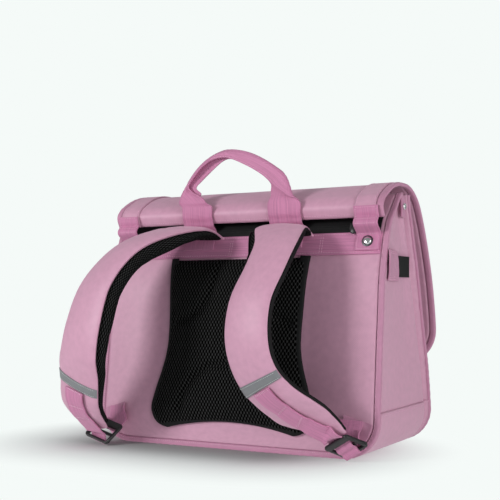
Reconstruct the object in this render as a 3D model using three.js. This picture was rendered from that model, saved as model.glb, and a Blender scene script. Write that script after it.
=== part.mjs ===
// School ransel: a box-shaped cloth satchel worn on the back, in millimetres, +Z up.
// The strap side faces -Y, the flap closes towards +Y, and the origin is under the middle of the base.
import * as THREE from "three";
import { mergeVertices } from "three/addons/utils/BufferGeometryUtils.js";

// Driving dimensions
const bagWidth = 380;
const baseDepth = 182;
const bodyHeight = 304;
const cornerRadius = 44;
const clothThickness = 2;
const panelThickness = 2.4;
const seatGap = 0.3;
const bindingWidth = 7;
const bindingDepth = 6;
const bindingProud = 1.2;
const guardHeight = 52;
const gussetSag = 9;
const frontBulge = 16;

const flapInset = 4;
const flapFlare = 8;
const flapProud = 35;
const flapRise = 13;
const flapDrop = 222;
const flapThickness = 2.6;
const flapCornerRadius = 45;
const flapTapeWidth = 8;
const flapTapeThickness = 5;
const flapBandWidth = 27;
const flapBandThickness = 1.2;

const webbingThickness = 1.6;
const yokeDrop = 48;
const yokeHeight = 26;
const zipHeight = 12.5;
const zipThickness = 1.2;
const sewnMargin = 2;
const zipHalfLength = 179;
const sliderLength = 11;
const sliderWidth = 8;
const sliderThickness = 3.2;
const sliderInset = 36;
const tabWidth = 30;
const tabInset = 5;
const tabUp = 4;
const tabStart = 12;
const tabReach = 34;
const tabBow = 18;
const rivetDiameter = 13.5;
const rivetHeight = 3.4;
const rivetUp = 15;

const padHalfWidth = 110;
const padLow = 22;
const padGap = 1;
const padThickness = 12;
const padEdge = 3;
const padArch = 11;

const handleSpacing = 122;
const handleLegWidth = 43;
const handleRise = 42;
const handleUp = 10;
const handleStand = 4;
const handleRoot = 13;

const strapWidth = 70;
const strapBow = 5;
const strapCover = 2.4;
const strapNeckDepth = 18;
const strapOuterDepth = 5;
const strapNeckWrap = 7;
const strapEase = 1.2;
const strapReach = 135;
const reflectorHeight = 12;
const reflectorSkew = 13;
const reflectorThickness = 0.9;
const strapWebbingWidth = 25;
const webbingShare = 0.86;
const webbingSeat = 0.9;
const webbingLift = 2.1;

const buckleWidth = 40;
const buckleLength = 32;
const buckleThickness = 4;
const buckleRail = 4.2;
const barWidth = 3.6;
const wideBarWidth = 8.5;
const wingLength = 33;
const wingHeight = 24;
const wingLow = 16;
const wingRise = 10;
const wingStand = 6;

const loopDrop = 105;
const loopHeight = 36;
const loopWidth = 46;
const loopStand = 2;
const elasticWidth = 34;
const elasticHeight = 25;
const gussetTabWidth = 12;
const gussetTabDrop = 26;
const snapDiameter = 8;
const snapHeight = 2.2;
const loopSetBack = 4;
const claspWidth = 46;
const claspHeight = 34;
const claspUp = 13;

// Heights, widths and depths that follow from them
const halfWidth = bagWidth / 2;
const flapHalfWidth = halfWidth - flapInset;
const yokeTop = bodyHeight - yokeDrop;
const yokeLow = yokeTop - yokeHeight;
const rivetLevel = yokeLow + rivetUp;
const flapHeight = bodyHeight + flapRise;
const flapReach = baseDepth + flapProud;
const handleTop = flapHeight + handleRise;
const handleLow = yokeLow + handleUp;
const loopLow = bodyHeight - loopDrop;

// Share of the body height at which the panel edges lie so far back or forward, as shares of the base depth
const bodyEdges = [
  { rise: 0.0, back: 0.0, front: 1.0 },
  { rise: 0.12, back: 0.005, front: 0.989 },
  { rise: 0.3, back: 0.036, front: 0.942 },
  { rise: 0.41, back: 0.055, front: 0.89 },
  { rise: 0.54, back: 0.082, front: 0.826 },
  { rise: 0.64, back: 0.1, front: 0.782 },
  { rise: 0.72, back: 0.13, front: 0.742 },
  { rise: 0.78, back: 0.165, front: 0.705 },
  { rise: 0.835, back: 0.198, front: 0.672 },
  { rise: 0.89, back: 0.247, front: 0.641 },
  { rise: 0.935, back: 0.324, front: 0.612 },
  { rise: 1.0, back: 0.43, front: 0.588 },
];

// The flap's outer side view from its back edge over the top to its front edge: back, down from the top, and flare
const flapProfile = [
  { depth: 0.186, drop: 0.2214, flare: 0 },
  { depth: 0.136, drop: 0.1929, flare: 0 },
  { depth: 0.118, drop: 0.1429, flare: 0 },
  { depth: 0.152, drop: 0.0986, flare: 0 },
  { depth: 0.212, drop: 0.0614, flare: 0 },
  { depth: 0.276, drop: 0.0314, flare: 0 },
  { depth: 0.369, drop: 0.0057, flare: 0 },
  { depth: 0.452, drop: 0, flare: 0 },
  { depth: 0.525, drop: 0.0043, flare: 0.1 },
  { depth: 0.599, drop: 0.0357, flare: 0.25 },
  { depth: 0.654, drop: 0.09, flare: 0.45 },
  { depth: 0.714, drop: 0.2071, flare: 0.65 },
  { depth: 0.774, drop: 0.3557, flare: 0.8 },
  { depth: 0.834, drop: 0.54, flare: 0.9 },
  { depth: 0.87, drop: 0.7429, flare: 1 },
  { depth: 0.876, drop: 0.8429, flare: 1 },
  { depth: 0.866, drop: 1, flare: 1 },
];

// Half widths of the back pad up its height
const padOutline = [
  { rise: 0.0, half: 0.85 },
  { rise: 0.02, half: 0.93 },
  { rise: 0.06, half: 0.985 },
  { rise: 0.11, half: 1.0 },
  { rise: 0.21, half: 0.96 },
  { rise: 0.38, half: 0.862 },
  { rise: 0.51, half: 0.825 },
  { rise: 0.75, half: 0.842 },
  { rise: 1.0, half: 0.875 },
];

// Middle line of each padded strap: across from the middle, out from a line between its root and the foot of
// the back, up towards the yoke, turn of its face in degrees, width and fullness
const strapPaths = {
  left: [
    { across: -0.321, out: 0.03, rise: 0.99, turn: 0, width: 1.08, full: 0.12 },
    { across: -0.33, out: 0.163, rise: 1.024, turn: 8, width: 1.03, full: 0.55 },
    { across: -0.45, out: 0.37, rise: 1.0, turn: 20, width: 0.98, full: 1 },
    { across: -0.605, out: 0.585, rise: 0.918, turn: 24, width: 0.97, full: 1 },
    { across: -0.718, out: 0.755, rise: 0.757, turn: 21, width: 0.98, full: 1 },
    { across: -0.75, out: 0.835, rise: 0.584, turn: 18, width: 1, full: 1 },
    { across: -0.785, out: 0.808, rise: 0.439, turn: 17, width: 1, full: 0.85 },
    { across: -0.825, out: 0.696, rise: 0.321, turn: 15, width: 1, full: 0.6 },
    { across: -0.86, out: 0.573, rise: 0.196, turn: 13, width: 0.92, full: 0.4 },
    { across: -0.845, out: 0.331, rise: 0.09, turn: 8, width: 0.5, full: 0.25 },
  ],
  right: [
    { across: 0.325, out: 0.03, rise: 0.99, turn: 0, width: 1.04, full: 0.12 },
    { across: 0.35, out: 0.163, rise: 1.022, turn: -2, width: 0.92, full: 0.55 },
    { across: 0.405, out: 0.366, rise: 0.962, turn: 2, width: 0.8, full: 1 },
    { across: 0.4, out: 0.539, rise: 0.843, turn: 8, width: 0.8, full: 1 },
    { across: 0.353, out: 0.662, rise: 0.689, turn: 12, width: 0.85, full: 1 },
    { across: 0.35, out: 0.695, rise: 0.546, turn: 12, width: 0.88, full: 1 },
    { across: 0.373, out: 0.638, rise: 0.422, turn: 12, width: 0.92, full: 0.9 },
    { across: 0.437, out: 0.511, rise: 0.31, turn: 10, width: 1.02, full: 0.75 },
    { across: 0.605, out: 0.353, rise: 0.2, turn: 8, width: 1.12, full: 0.6 },
    { across: 0.79, out: 0.248, rise: 0.129, turn: 2, width: 0.48, full: 0.3 },
  ],
};
const reflectorShare = { left: 0.803, right: 0.71 };

// The handle's middle line above its legs: across in half spacings, up to its top, and its width across the fold
const handleArch = [
  { across: -1.1, up: 0.12, width: 0.9 },
  { across: -1.13, up: 0.36, width: 0.4 },
  { across: -0.98, up: 0.59, width: 0.34 },
  { across: -0.72, up: 0.8, width: 0.34 },
  { across: -0.43, up: 0.94, width: 0.29 },
  { across: -0.05, up: 0.95, width: 0.3 },
  { across: 0.3, up: 0.82, width: 0.36 },
  { across: 0.62, up: 0.64, width: 0.41 },
  { across: 0.88, up: 0.4, width: 0.53 },
  { across: 0.95, up: 0.13, width: 0.75 },
];

// Where each buckle hangs: across, out from the foot of the back, up towards the yoke, its turn, lean and roll
// in degrees, and its wide end
const buckleHang = {
  left: { across: -0.84, out: 0.241, rise: 0.064, turn: -5, lean: -42, roll: 19, wide: 1 },
  right: { across: 0.84, out: 0.161, rise: 0.068, turn: -21, lean: 37, roll: 51, wide: -1 },
};

// How each webbing runs through its buckle: shares of the buckle's length, and of the room a webbing takes on its face
const strapRoutes = {
  left: [
    { forward: -0.25, lift: -1.5 },
    { forward: -0.27, lift: -0.26 },
    { forward: -0.325, lift: 0.77 },
    { forward: -0.39, lift: 1.12 },
    { forward: -0.455, lift: 1.14 },
  ],
  right: [
    { forward: -0.47, lift: -1.45 },
    { forward: -0.26, lift: -1.1 },
    { forward: -0.19, lift: -0.85 },
    { forward: -0.006, lift: 0.68 },
    { forward: 0.14, lift: 0.75 },
    { forward: 0.27, lift: 1.55 },
    { forward: 0.36, lift: 1.7 },
  ],
};
const anchorRoutes = {
  left: [
    { forward: 0.69, lift: 1.18 },
    { forward: 0.485, lift: 1.03 },
    { forward: 0.28, lift: 1.03 },
    { forward: 0.19, lift: 0.87 },
    { forward: 0.165, lift: 0 },
  ],
  right: [
    { forward: 0.25, lift: -2.3 },
    { forward: 0.41, lift: -1.3 },
    { forward: 0.52, lift: -1 },
    { forward: 0.57, lift: -0.3 },
    { forward: 0.575, lift: 0.3 },
  ],
};

// Materials
const paint = (color, roughness, metalness = 0) =>
  new THREE.MeshStandardMaterial({ color, roughness, metalness });
const pinkCloth = () => paint("#c893b0", 0.55);
const pinkTape = () => paint("#b8709a", 0.7);
const blackMesh = () => paint("#1b1b1c", 0.9);
const blackPlastic = () => paint("#1d1a1c", 0.45);
const greyReflector = () => paint("#8d8f91", 0.4);
const chrome = () => paint("#d8d8da", 0.2, 1);

const bag = new THREE.Group();
bag.position.y = -baseDepth / 2;

const point = (x, y, z) => new THREE.Vector3(x, y, z);
const mix = THREE.MathUtils.lerp;

// A smooth value between the rows of a table, read at a share of its key column
function along(rows, key, column, at) {
  const last = rows.length - 1;
  let i = 0;
  while (i < last - 1 && at > rows[i + 1][key]) i += 1;
  const slope = (j) => {
    const low = rows[Math.max(j - 1, 0)];
    const high = rows[Math.min(j + 1, last)];
    return (high[column] - low[column]) / (high[key] - low[key]);
  };
  const span = rows[i + 1][key] - rows[i][key];
  const t = THREE.MathUtils.clamp((at - rows[i][key]) / span, 0, 1);
  const a = (2 * t ** 3 - 3 * t ** 2 + 1) * rows[i][column] + (t ** 3 - 2 * t ** 2 + t) * span * slope(i);
  const b = (3 * t ** 2 - 2 * t ** 3) * rows[i + 1][column] + (t ** 3 - t ** 2) * span * slope(i + 1);
  return a + b;
}

// A closed sheet: a box bent by place(across, along, lift), each from 0 to 1
function sheet(columns, rows, place) {
  const geometry = new THREE.BoxGeometry(1, 1, 1, columns, 1, rows);
  const position = geometry.attributes.position;
  for (let i = 0; i < position.count; i += 1) {
    const u = Math.round((position.getX(i) + 0.5) * columns) / columns;
    const t = Math.round(position.getY(i) + 0.5);
    const v = Math.round((position.getZ(i) + 0.5) * rows) / rows;
    const p = place(u, v, t);
    position.setXYZ(i, p.x, p.y, p.z);
  }
  return outward(geometry);
}

// The same body with merged corners and its faces turned out
function outward(geometry) {
  geometry.deleteAttribute("normal");
  geometry.deleteAttribute("uv");
  const merged = mergeVertices(geometry, 1e-4);
  const position = merged.attributes.position;
  const index = merged.index;
  const corner = (i) => new THREE.Vector3().fromBufferAttribute(position, index.getX(i));
  let volume = 0;
  for (let i = 0; i < index.count; i += 3) {
    volume += corner(i).dot(corner(i + 1).cross(corner(i + 2)));
  }
  if (volume < 0) {
    for (let i = 0; i < index.count; i += 3) {
      const swap = index.getX(i);
      index.setX(i, index.getX(i + 1));
      index.setX(i + 1, swap);
    }
  }
  merged.computeVertexNormals();
  return merged;
}

function add(name, geometry, material, parent = bag) {
  const mesh = new THREE.Mesh(geometry, material);
  mesh.name = name;
  parent.add(mesh);
  return mesh;
}

// A ribbon of one thickness along a line of points, each with its own direction across
function ribbon(line, thickness) {
  const rows = line.length - 1;
  const frames = line.map(({ at, across, width }, i) => {
    const ahead = line[Math.min(i + 1, rows)].at.clone().sub(line[Math.max(i - 1, 0)].at).normalize();
    const side = across.clone().addScaledVector(ahead, -across.dot(ahead)).normalize();
    return { at, side, width, up: new THREE.Vector3().crossVectors(side, ahead) };
  });
  return sheet(1, rows, (u, v, t) => {
    const { at, side, width, up } = frames[Math.round(v * rows)];
    return at.clone().addScaledVector(side, width * (u - 0.5)).addScaledVector(up, thickness * t);
  });
}

// The body: panels, gussets and the bindings along their edges
const backY = (z) => baseDepth * along(bodyEdges, "rise", "back", z / bodyHeight);
const frontY = (z) => baseDepth * along(bodyEdges, "rise", "front", z / bodyHeight);

// Half the width of the body's outline at a height, drawn in by an inset
function outlineHalf(z, inset) {
  const sideways = halfWidth - cornerRadius;
  if (z >= cornerRadius) return halfWidth - inset;
  return sideways + Math.sqrt(Math.max((cornerRadius - inset) ** 2 - (cornerRadius - z) ** 2, 0));
}

// Heights of a panel's rows: close together round the corner, then wider apart to the top
function panelRows(inset, top) {
  const steps = 5;
  const rows = [];
  for (let i = 0; i < steps; i += 1) {
    const turn = (Math.PI / 2) * (i / steps);
    rows.push(cornerRadius - (cornerRadius - inset) * Math.cos(turn));
  }
  const sideRows = 13;
  for (let i = 0; i <= sideRows; i += 1) rows.push(mix(cornerRadius, top, i / sideRows));
  return rows;
}

const panelInset = bindingWidth + seatGap;
function panel(name, outerY, thickness) {
  const heights = panelRows(panelInset, bodyHeight);
  const rows = heights.length - 1;
  const geometry = sheet(8, rows, (u, v, t) => {
    const z = heights[Math.round(v * rows)];
    const x = (2 * u - 1) * outlineHalf(z, panelInset);
    return point(x, outerY(x, z) + thickness * t, z);
  });
  return add(name, geometry, pinkCloth());
}
const frontSurface = (x, z) => {
  const rise = z / bodyHeight;
  const middle = 1 - (x / halfWidth) ** 2;
  return frontY(z) + frontBulge * middle * Math.sin(Math.PI * Math.min(rise * 1.05, 1)) ** 1.2;
};
panel("back_panel", (x, z) => backY(z), panelThickness);
panel("front_panel", frontSurface, -panelThickness);

// The body's outline from a height on the right side down, along the bottom and up the left side
function rim(from, steps, inset) {
  const line = [];
  const arc = 6;
  const inner = cornerRadius - inset;
  for (let i = 0; i < steps; i += 1) {
    const z = mix(from, cornerRadius, i / steps);
    line.push({ x: halfWidth - inset, z, nx: 1, nz: 0 });
  }
  for (let i = 0; i <= arc; i += 1) {
    const turn = (Math.PI / 2) * (i / arc);
    const nx = Math.cos(turn);
    const nz = -Math.sin(turn);
    line.push({ x: halfWidth - cornerRadius + inner * nx, z: cornerRadius + inner * nz, nx, nz });
  }
  const other = line.map(({ x, z, nx, nz }) => ({ x: -x, z, nx: -nx, nz })).reverse();
  return [...line, ...other];
}

// Rounded tape round an edge of the body: a six-sided section that stands a little proud
function bodyBinding(name, edgeY, outwards) {
  const line = rim(bodyHeight, 13, 0);
  const rows = line.length - 1;
  const geometry = sheet(2, rows, (u, v, t) => {
    const { x, z, nx, nz } = line[Math.round(v * rows)];
    const rounding = u === 0.5 ? 0 : 0.22;
    const inward = mix(bindingWidth * rounding, bindingWidth * (1 - rounding), 1 - t);
    const off = u === 0.5 ? mix(0, bindingWidth, 1 - t) : inward;
    const y = edgeY(z) + outwards * (bindingProud - bindingDepth * u);
    return point(x - nx * off, y, z - nz * off);
  });
  return add(name, geometry, pinkTape());
}
bodyBinding("back_binding", backY, -1);
bodyBinding("front_binding", frontY, 1);

// The gusset's outer surface: level at the bindings, drawn in between them towards the top
const gussetClear = bindingDepth - bindingProud + seatGap;
const gussetY = (z, share) => mix(backY(z) + gussetClear, frontY(z) - gussetClear, share);
const gussetInset = (z, share) => {
  const rise = THREE.MathUtils.clamp((z - cornerRadius) / (bodyHeight - cornerRadius), 0, 1);
  return gussetSag * Math.sin(Math.PI * share) * rise ** 0.8;
};

function gusset(name, side) {
  const rows = 12;
  const low = guardHeight + seatGap;
  const geometry = sheet(6, rows, (u, v, t) => {
    const z = mix(low, bodyHeight, v);
    const x = halfWidth - gussetInset(z, u) - clothThickness * t;
    return point(side * x, gussetY(z, u), z);
  });
  return add(name, geometry, pinkCloth());
}

function basePanel() {
  const line = rim(guardHeight, 1, 0);
  const rows = line.length - 1;
  const geometry = sheet(2, rows, (u, v, t) => {
    const { x, z, nx, nz } = line[Math.round(v * rows)];
    const inset = gussetInset(z, u) + panelThickness * t;
    return point(x - nx * inset, gussetY(z, u), z - nz * inset);
  });
  return add("base_panel", geometry, pinkCloth());
}
basePanel();

// The flap, laid over the body from the zip at the back to its front edge
const flapCurve = new THREE.CatmullRomCurve3(
  flapProfile.map(({ depth, drop }) => point(0, depth * flapReach, flapHeight - drop * flapDrop)),
  false,
  "centripetal",
);
const flapLength = flapCurve.getLength();
const flapFlareRows = flapProfile.map(({ flare }, i) => ({ share: i / (flapProfile.length - 1), flare }));

// A point on the flap: across from the middle, down its length, lifted out of its outer face
function flapPoint(x, length, lift) {
  const share = THREE.MathUtils.clamp(length / flapLength, 0, 1);
  const at = flapCurve.getPointAt(share);
  const ahead = flapCurve.getTangentAt(share);
  return point(x, at.y - ahead.z * lift, at.z + ahead.y * lift);
}
function flapEdge(length) {
  const share = THREE.MathUtils.clamp(length / flapLength, 0, 1);
  const raw = flapCurve.getUtoTmapping(share);
  return flapHalfWidth + flapFlare * along(flapFlareRows, "share", "flare", raw);
}
// Half the flap's width at a length, with its two lower corners rounded, drawn in by an inset
function flapHalf(length, inset) {
  const left = flapLength - length;
  if (left >= flapCornerRadius) return flapEdge(length) - inset;
  const reach = (flapCornerRadius - inset) ** 2 - (flapCornerRadius - left) ** 2;
  return flapEdge(length) - flapCornerRadius + Math.sqrt(Math.max(reach, 0));
}
const flapSteps = 24;
const flapStraightRows = Array.from({ length: flapSteps + 1 }, (_, i) =>
  (flapLength - flapCornerRadius) * (i / flapSteps) ** 1.25);
function flapRows(inset) {
  const rows = [];
  flapStraightRows.forEach((length) => rows.push(length));
  const arc = 5;
  for (let i = 1; i <= arc; i += 1) {
    const turn = (Math.PI / 2) * (i / arc);
    rows.push(flapLength - flapCornerRadius + (flapCornerRadius - inset) * Math.sin(turn));
  }
  return rows;
}

function flap() {
  const inset = flapTapeWidth + seatGap;
  const lengths = flapRows(inset);
  const rows = lengths.length - 1;
  const geometry = sheet(4, rows, (u, v, t) => {
    const length = lengths[Math.round(v * rows)];
    return flapPoint((2 * u - 1) * flapHalf(length, inset), length, -flapThickness * (1 - t));
  });
  return add("flap", geometry, pinkCloth());
}
flap();

function flapBinding() {
  const outer = flapRows(0);
  const inner = flapRows(flapTapeWidth);
  const right = outer.map((length, i) => ({
    out: { x: flapHalf(length, 0), length },
    in: { x: flapHalf(inner[i], flapTapeWidth), length: inner[i] },
  }));
  const mirror = ({ x, length }) => ({ x: -x, length });
  const left = right.map((edge) => ({ out: mirror(edge.out), in: mirror(edge.in) })).reverse();
  const line = [...right, ...left];
  const rows = line.length - 1;
  const sink = (flapTapeThickness + flapThickness) / 2;
  const geometry = sheet(1, rows, (u, v, t) => {
    const { out, in: inside } = line[Math.round(v * rows)];
    const x = mix(out.x, inside.x, u);
    const length = mix(out.length, inside.length, u);
    return flapPoint(x, length, flapTapeThickness * t - sink);
  });
  return add("flap_binding", geometry, pinkTape());
}
flapBinding();

function flapBand(name, side) {
  const geometry = sheet(1, flapSteps, (u, v, t) => {
    const length = flapStraightRows[Math.round(v * flapSteps)];
    const outer = flapHalf(length, flapTapeWidth + seatGap);
    return flapPoint(side * (outer - flapBandWidth * u), length, seatGap + flapBandThickness * t);
  });
  return add(name, geometry, pinkCloth());
}

// The zip strip and the yoke webbing across the back panel
function backStrip(low, height, half, lift, thickness, columns = 4) {
  const rows = 2;
  return sheet(columns, rows, (u, v, t) => {
    const z = low + height * v;
    return point((2 * u - 1) * half, backY(z) - lift - thickness * t, z);
  });
}
const yokeHalf = halfWidth - panelInset - seatGap;
add("yoke_webbing", backStrip(yokeLow, yokeHeight, yokeHalf, seatGap, webbingThickness), pinkTape());
add("zip_tape", backStrip(yokeTop + seatGap, zipHeight, zipHalfLength, seatGap, zipThickness), blackMesh());

function zipSlider() {
  const z = yokeTop + seatGap + zipHeight / 2;
  const body = new THREE.BoxGeometry(sliderLength, sliderThickness, sliderWidth);
  const y = backY(z) - seatGap * 2 - zipThickness - sliderThickness / 2;
  const lean = Math.atan2(backY(z + 1) - backY(z - 1), 2);
  body.rotateX(-lean);
  body.translate(halfWidth - tabInset - tabWidth - sliderInset / 2, y - seatGap * 2, z);
  return add("zip_slider", outward(body), blackPlastic());
}
zipSlider();

// The back pad: a cushion that follows the panel, thin at its border
function backPad() {
  const top = yokeLow - padGap;
  const columns = 10;
  const rows = 14;
  const geometry = sheet(columns, rows, (u, v, t) => {
    const rise = v ** 1.3;
    const side = 2 * u - 1;
    const x = side * padHalfWidth * along(padOutline, "rise", "half", rise);
    const z = mix(padLow, top, rise) + padArch * (1 - side ** 2) * (1 - rise) ** 3;
    const inside = Math.min(1 - Math.abs(side), rise * 3, (1 - rise) * 3, 0.3) / 0.3;
    const swell = padEdge + (padThickness - padEdge) * Math.sin((Math.PI / 2) * inside);
    return point(x, backY(z) - seatGap - swell * t, z);
  });
  return add("back_pad", geometry, blackMesh());
}
backPad();

// A tab at each top corner: sewn on the yoke's end, bowed over the zip, sewn on the flap's back edge
function cornerTab(name, side) {
  const middle = flapHalfWidth - tabInset - tabWidth / 2;
  const lift = seatGap * 2 + webbingThickness;
  const line = [];
  const push = (at) => line.push({ at, across: point(1, 0, 0), width: tabWidth });
  for (let i = 0; i <= 2; i += 1) {
    const z = mix(yokeLow + tabUp, yokeTop - sewnMargin, i / 2);
    push(point(side * middle, backY(z) - lift, z));
  }
  const bowZ = yokeTop + zipHeight * 0.75;
  const flapStart = flapPoint(0, 0, 0);
  push(point(side * middle, flapStart.y - tabBow, bowZ));
  const sewnRows = flapStraightRows.filter((length) => length > tabStart && length < tabReach);
  sewnRows.forEach((length) => push(flapPoint(side * middle, length, seatGap * 3 + flapBandThickness)));
  return add(name, ribbon(line, webbingThickness), pinkTape());
}

function rivet(name, side) {
  const radius = rivetDiameter / 2;
  const profile = [
    new THREE.Vector2(0, 0),
    new THREE.Vector2(radius, 0),
    new THREE.Vector2(radius, rivetHeight * 0.35),
    new THREE.Vector2(radius * 0.75, rivetHeight * 0.8),
    new THREE.Vector2(radius * 0.4, rivetHeight),
    new THREE.Vector2(0, rivetHeight),
  ];
  const geometry = new THREE.LatheGeometry(profile, 20);
  const lean = Math.atan2(backY(rivetLevel + 1) - backY(rivetLevel - 1), 2);
  geometry.rotateX(Math.PI - lean);
  const lift = seatGap * 3 + webbingThickness * 2;
  geometry.translate(side * (flapHalfWidth - tabInset - tabWidth / 2), backY(rivetLevel) - lift, rivetLevel);
  return add(name, outward(geometry), chrome());
}

const sides = [["left", -1], ["right", 1]];
sides.forEach(([word, side]) => {
  gusset(`gusset_${word}`, side);
  flapBand(`flap_band_${word}`, side);
  cornerTab(`corner_tab_${word}`, side);
  rivet(`rivet_${word}`, side);
});

// The carrying handle: flat legs sewn to the yoke, folded to a narrower grip above the flap
const strapSeat = seatGap * 2 + webbingThickness;
function handle() {
  const leg = handleSpacing / 2;
  const overZip = seatGap * 2 + zipThickness;
  const overFlap = (length, lift) => {
    const { y, z } = flapPoint(0, length, seatGap + lift);
    return [y, z];
  };
  const legLine = [
    [backY(handleLow) - strapSeat, handleLow],
    [backY(yokeTop - sewnMargin) - strapSeat, yokeTop - sewnMargin],
    [backY(yokeTop + zipHeight / 2) - overZip, yokeTop + zipHeight / 2],
    overFlap(handleRoot * 0.46, 0),
    overFlap(handleRoot, 0),
    overFlap(handleRoot * 1.7, handleStand / 4),
    [overFlap(handleRoot * 1.7, 0)[0] - handleStand / 4, overFlap(handleRoot * 2.3, 0)[1] + handleStand],
  ];
  const legEnd = legLine[legLine.length - 1];
  const line = legLine.map(([y, z]) => ({ at: point(-leg, y, z), across: point(1, 0, 0), width: handleLegWidth }));
  const rise = handleTop - legEnd[1];
  const arch = handleArch.map(({ across, up, width }) => ({
    at: point(leg * across, legEnd[0], legEnd[1] + rise * up), width: handleLegWidth * width,
  }));
  arch.forEach(({ at, width }, i) => {
    const ahead = arch[Math.min(i + 1, arch.length - 1)].at.clone().sub(arch[Math.max(i - 1, 0)].at);
    line.push({ at, across: point(ahead.z, 0, -ahead.x), width });
  });
  legLine.reverse().forEach(([y, z]) => line.push({
    at: point(leg, y, z), across: point(-1, 0, 0), width: handleLegWidth,
  }));
  return add("handle", ribbon(line, webbingThickness), pinkTape());
}
handle();

// The padded shoulder straps
const rootY = backY(yokeTop) - strapSeat - webbingThickness - seatGap;
const strapCurves = Object.fromEntries(Object.entries(strapPaths).map(([word, rows]) => {
  const last = rows.length - 1;
  const centres = rows.map(({ across, out, rise }, i) =>
    point(across * halfWidth, mix(rootY, 0, i / last) - out * strapReach, rise * yokeTop));
  return [word, new THREE.CatmullRomCurve3(centres, false, "centripetal")];
}));
function strapFrame(word, share) {
  const curve = strapCurves[word];
  const last = strapPaths[word].length - 1;
  const rows = strapPaths[word].map((row, i) => ({ ...row, share: i / last }));
  const raw = curve.getUtoTmapping(share);
  const turn = THREE.MathUtils.degToRad(along(rows, "share", "turn", raw));
  const at = curve.getPointAt(share);
  const ahead = curve.getTangentAt(share);
  const full = along(rows, "share", "full", raw);
  const side = point(Math.cos(turn), -Math.sin(turn), 0);
  side.addScaledVector(ahead, -side.dot(ahead) * full).normalize();
  const up = new THREE.Vector3().crossVectors(ahead, side).normalize();
  return { at, side, up, full, width: strapWidth * along(rows, "share", "width", raw) };
}
function strapSurface(frame, across, lift) {
  const bow = strapBow * frame.full * (1 - (2 * across) ** 2);
  return frame.at.clone().addScaledVector(frame.side, frame.width * across)
    .addScaledVector(frame.up, bow + lift);
}

function strap(word) {
  const rows = 22;
  const frames = Array.from({ length: rows + 1 }, (_, i) => strapFrame(word, i / rows));
  const cover = sheet(4, rows, (u, v, t) =>
    strapSurface(frames[Math.round(v * rows)], u - 0.5, strapCover * t));
  const neck = word === "left" ? 1 : -1;
  const cushion = sheet(4, rows, (u, v, t) => {
    const frame = frames[Math.round(v * rows)];
    const toNeck = neck * (u - 0.5) + 0.5;
    const wrap = neck * strapNeckWrap * frame.full * toNeck ** 8 / frame.width;
    const depth = mix(strapOuterDepth, strapNeckDepth, Math.sin((Math.PI / 2) * toNeck));
    const top = toNeck === 1 ? -seatGap * 2 : 0;
    const under = seatGap * 2 + strapEase * (1 - frame.full);
    return strapSurface(frame, u - 0.5 + wrap, top - under - depth * frame.full * t);
  });
  add(`strap_cover_${word}`, cover, pinkCloth());
  add(`strap_pad_${word}`, cushion, blackMesh());

  const stripe = sheet(4, 1, (u, v, t) => {
    const down = neck * (u - 0.5) * reflectorSkew + (v - 0.5) * reflectorHeight;
    const share = reflectorShare[word] + down / strapCurves[word].getLength();
    return strapSurface(strapFrame(word, share), u - 0.5, strapCover + seatGap * 2 + reflectorThickness * t);
  });
  add(`reflector_${word}`, stripe, greyReflector());
}

// Each ladder-lock buckle has its own frame: side along its bars, ahead along the webbing, up out of its face
function buckleFrame(word) {
  const { across, out, rise, turn, lean, roll } = buckleHang[word];
  const at = point(across * halfWidth, -out * strapReach, rise * yokeTop);
  const [yaw, tilt, spin] = [turn, lean, roll].map(THREE.MathUtils.degToRad);
  const flat = point(Math.cos(yaw), -Math.sin(yaw), 0);
  const outwards = point(-Math.sin(yaw), -Math.cos(yaw), 0);
  const down = outwards.clone().multiplyScalar(-Math.cos(tilt)).add(point(0, 0, -Math.sin(tilt)));
  const up = new THREE.Vector3().crossVectors(down, flat);
  const side = flat.clone().applyAxisAngle(up, spin);
  const ahead = down.clone().applyAxisAngle(up, spin);
  return { at, side, ahead, up };
}
const slotLength = (buckleLength - 2 * barWidth - wideBarWidth) / 2;
function rectangle(path, halfAcross, low, high, cut) {
  path.moveTo(-halfAcross + cut, low);
  path.lineTo(halfAcross - cut, low);
  path.lineTo(halfAcross, low + cut);
  path.lineTo(halfAcross, high - cut);
  path.lineTo(halfAcross - cut, high);
  path.lineTo(-halfAcross + cut, high);
  path.lineTo(-halfAcross, high - cut);
  path.lineTo(-halfAcross, low + cut);
  path.closePath();
  return path;
}
function buckle(word, frame) {
  const half = buckleWidth / 2;
  const outline = rectangle(new THREE.Shape(), half, -buckleLength / 2, buckleLength / 2, buckleRail);
  const { wide } = buckleHang[word];
  [barWidth, 2 * barWidth + slotLength].forEach((start) => {
    const ends = [wide * (start - buckleLength / 2), wide * (start + slotLength - buckleLength / 2)];
    const slot = rectangle(new THREE.Path(), half - buckleRail, Math.min(...ends), Math.max(...ends), 1);
    outline.holes.push(slot);
  });
  const geometry = new THREE.ExtrudeGeometry(outline, { depth: buckleThickness, bevelEnabled: false });
  geometry.translate(0, 0, -buckleThickness / 2);
  geometry.applyMatrix4(new THREE.Matrix4().makeBasis(frame.side, frame.ahead, frame.up).setPosition(frame.at));
  add(`buckle_${word}`, outward(geometry), blackPlastic());
}

// The rest of a webbing's line, through its buckle
const webbingRoom = buckleThickness / 2 + seatGap + webbingThickness;
function throughBuckle(line, route, frame) {
  const across = frame.side.clone().negate();
  route.forEach(({ forward, lift }) => {
    const at = frame.at.clone().addScaledVector(frame.ahead, forward * buckleLength);
    line.push({ at: at.addScaledVector(frame.up, lift * webbingRoom), across, width: strapWebbingWidth });
  });
}

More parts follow.
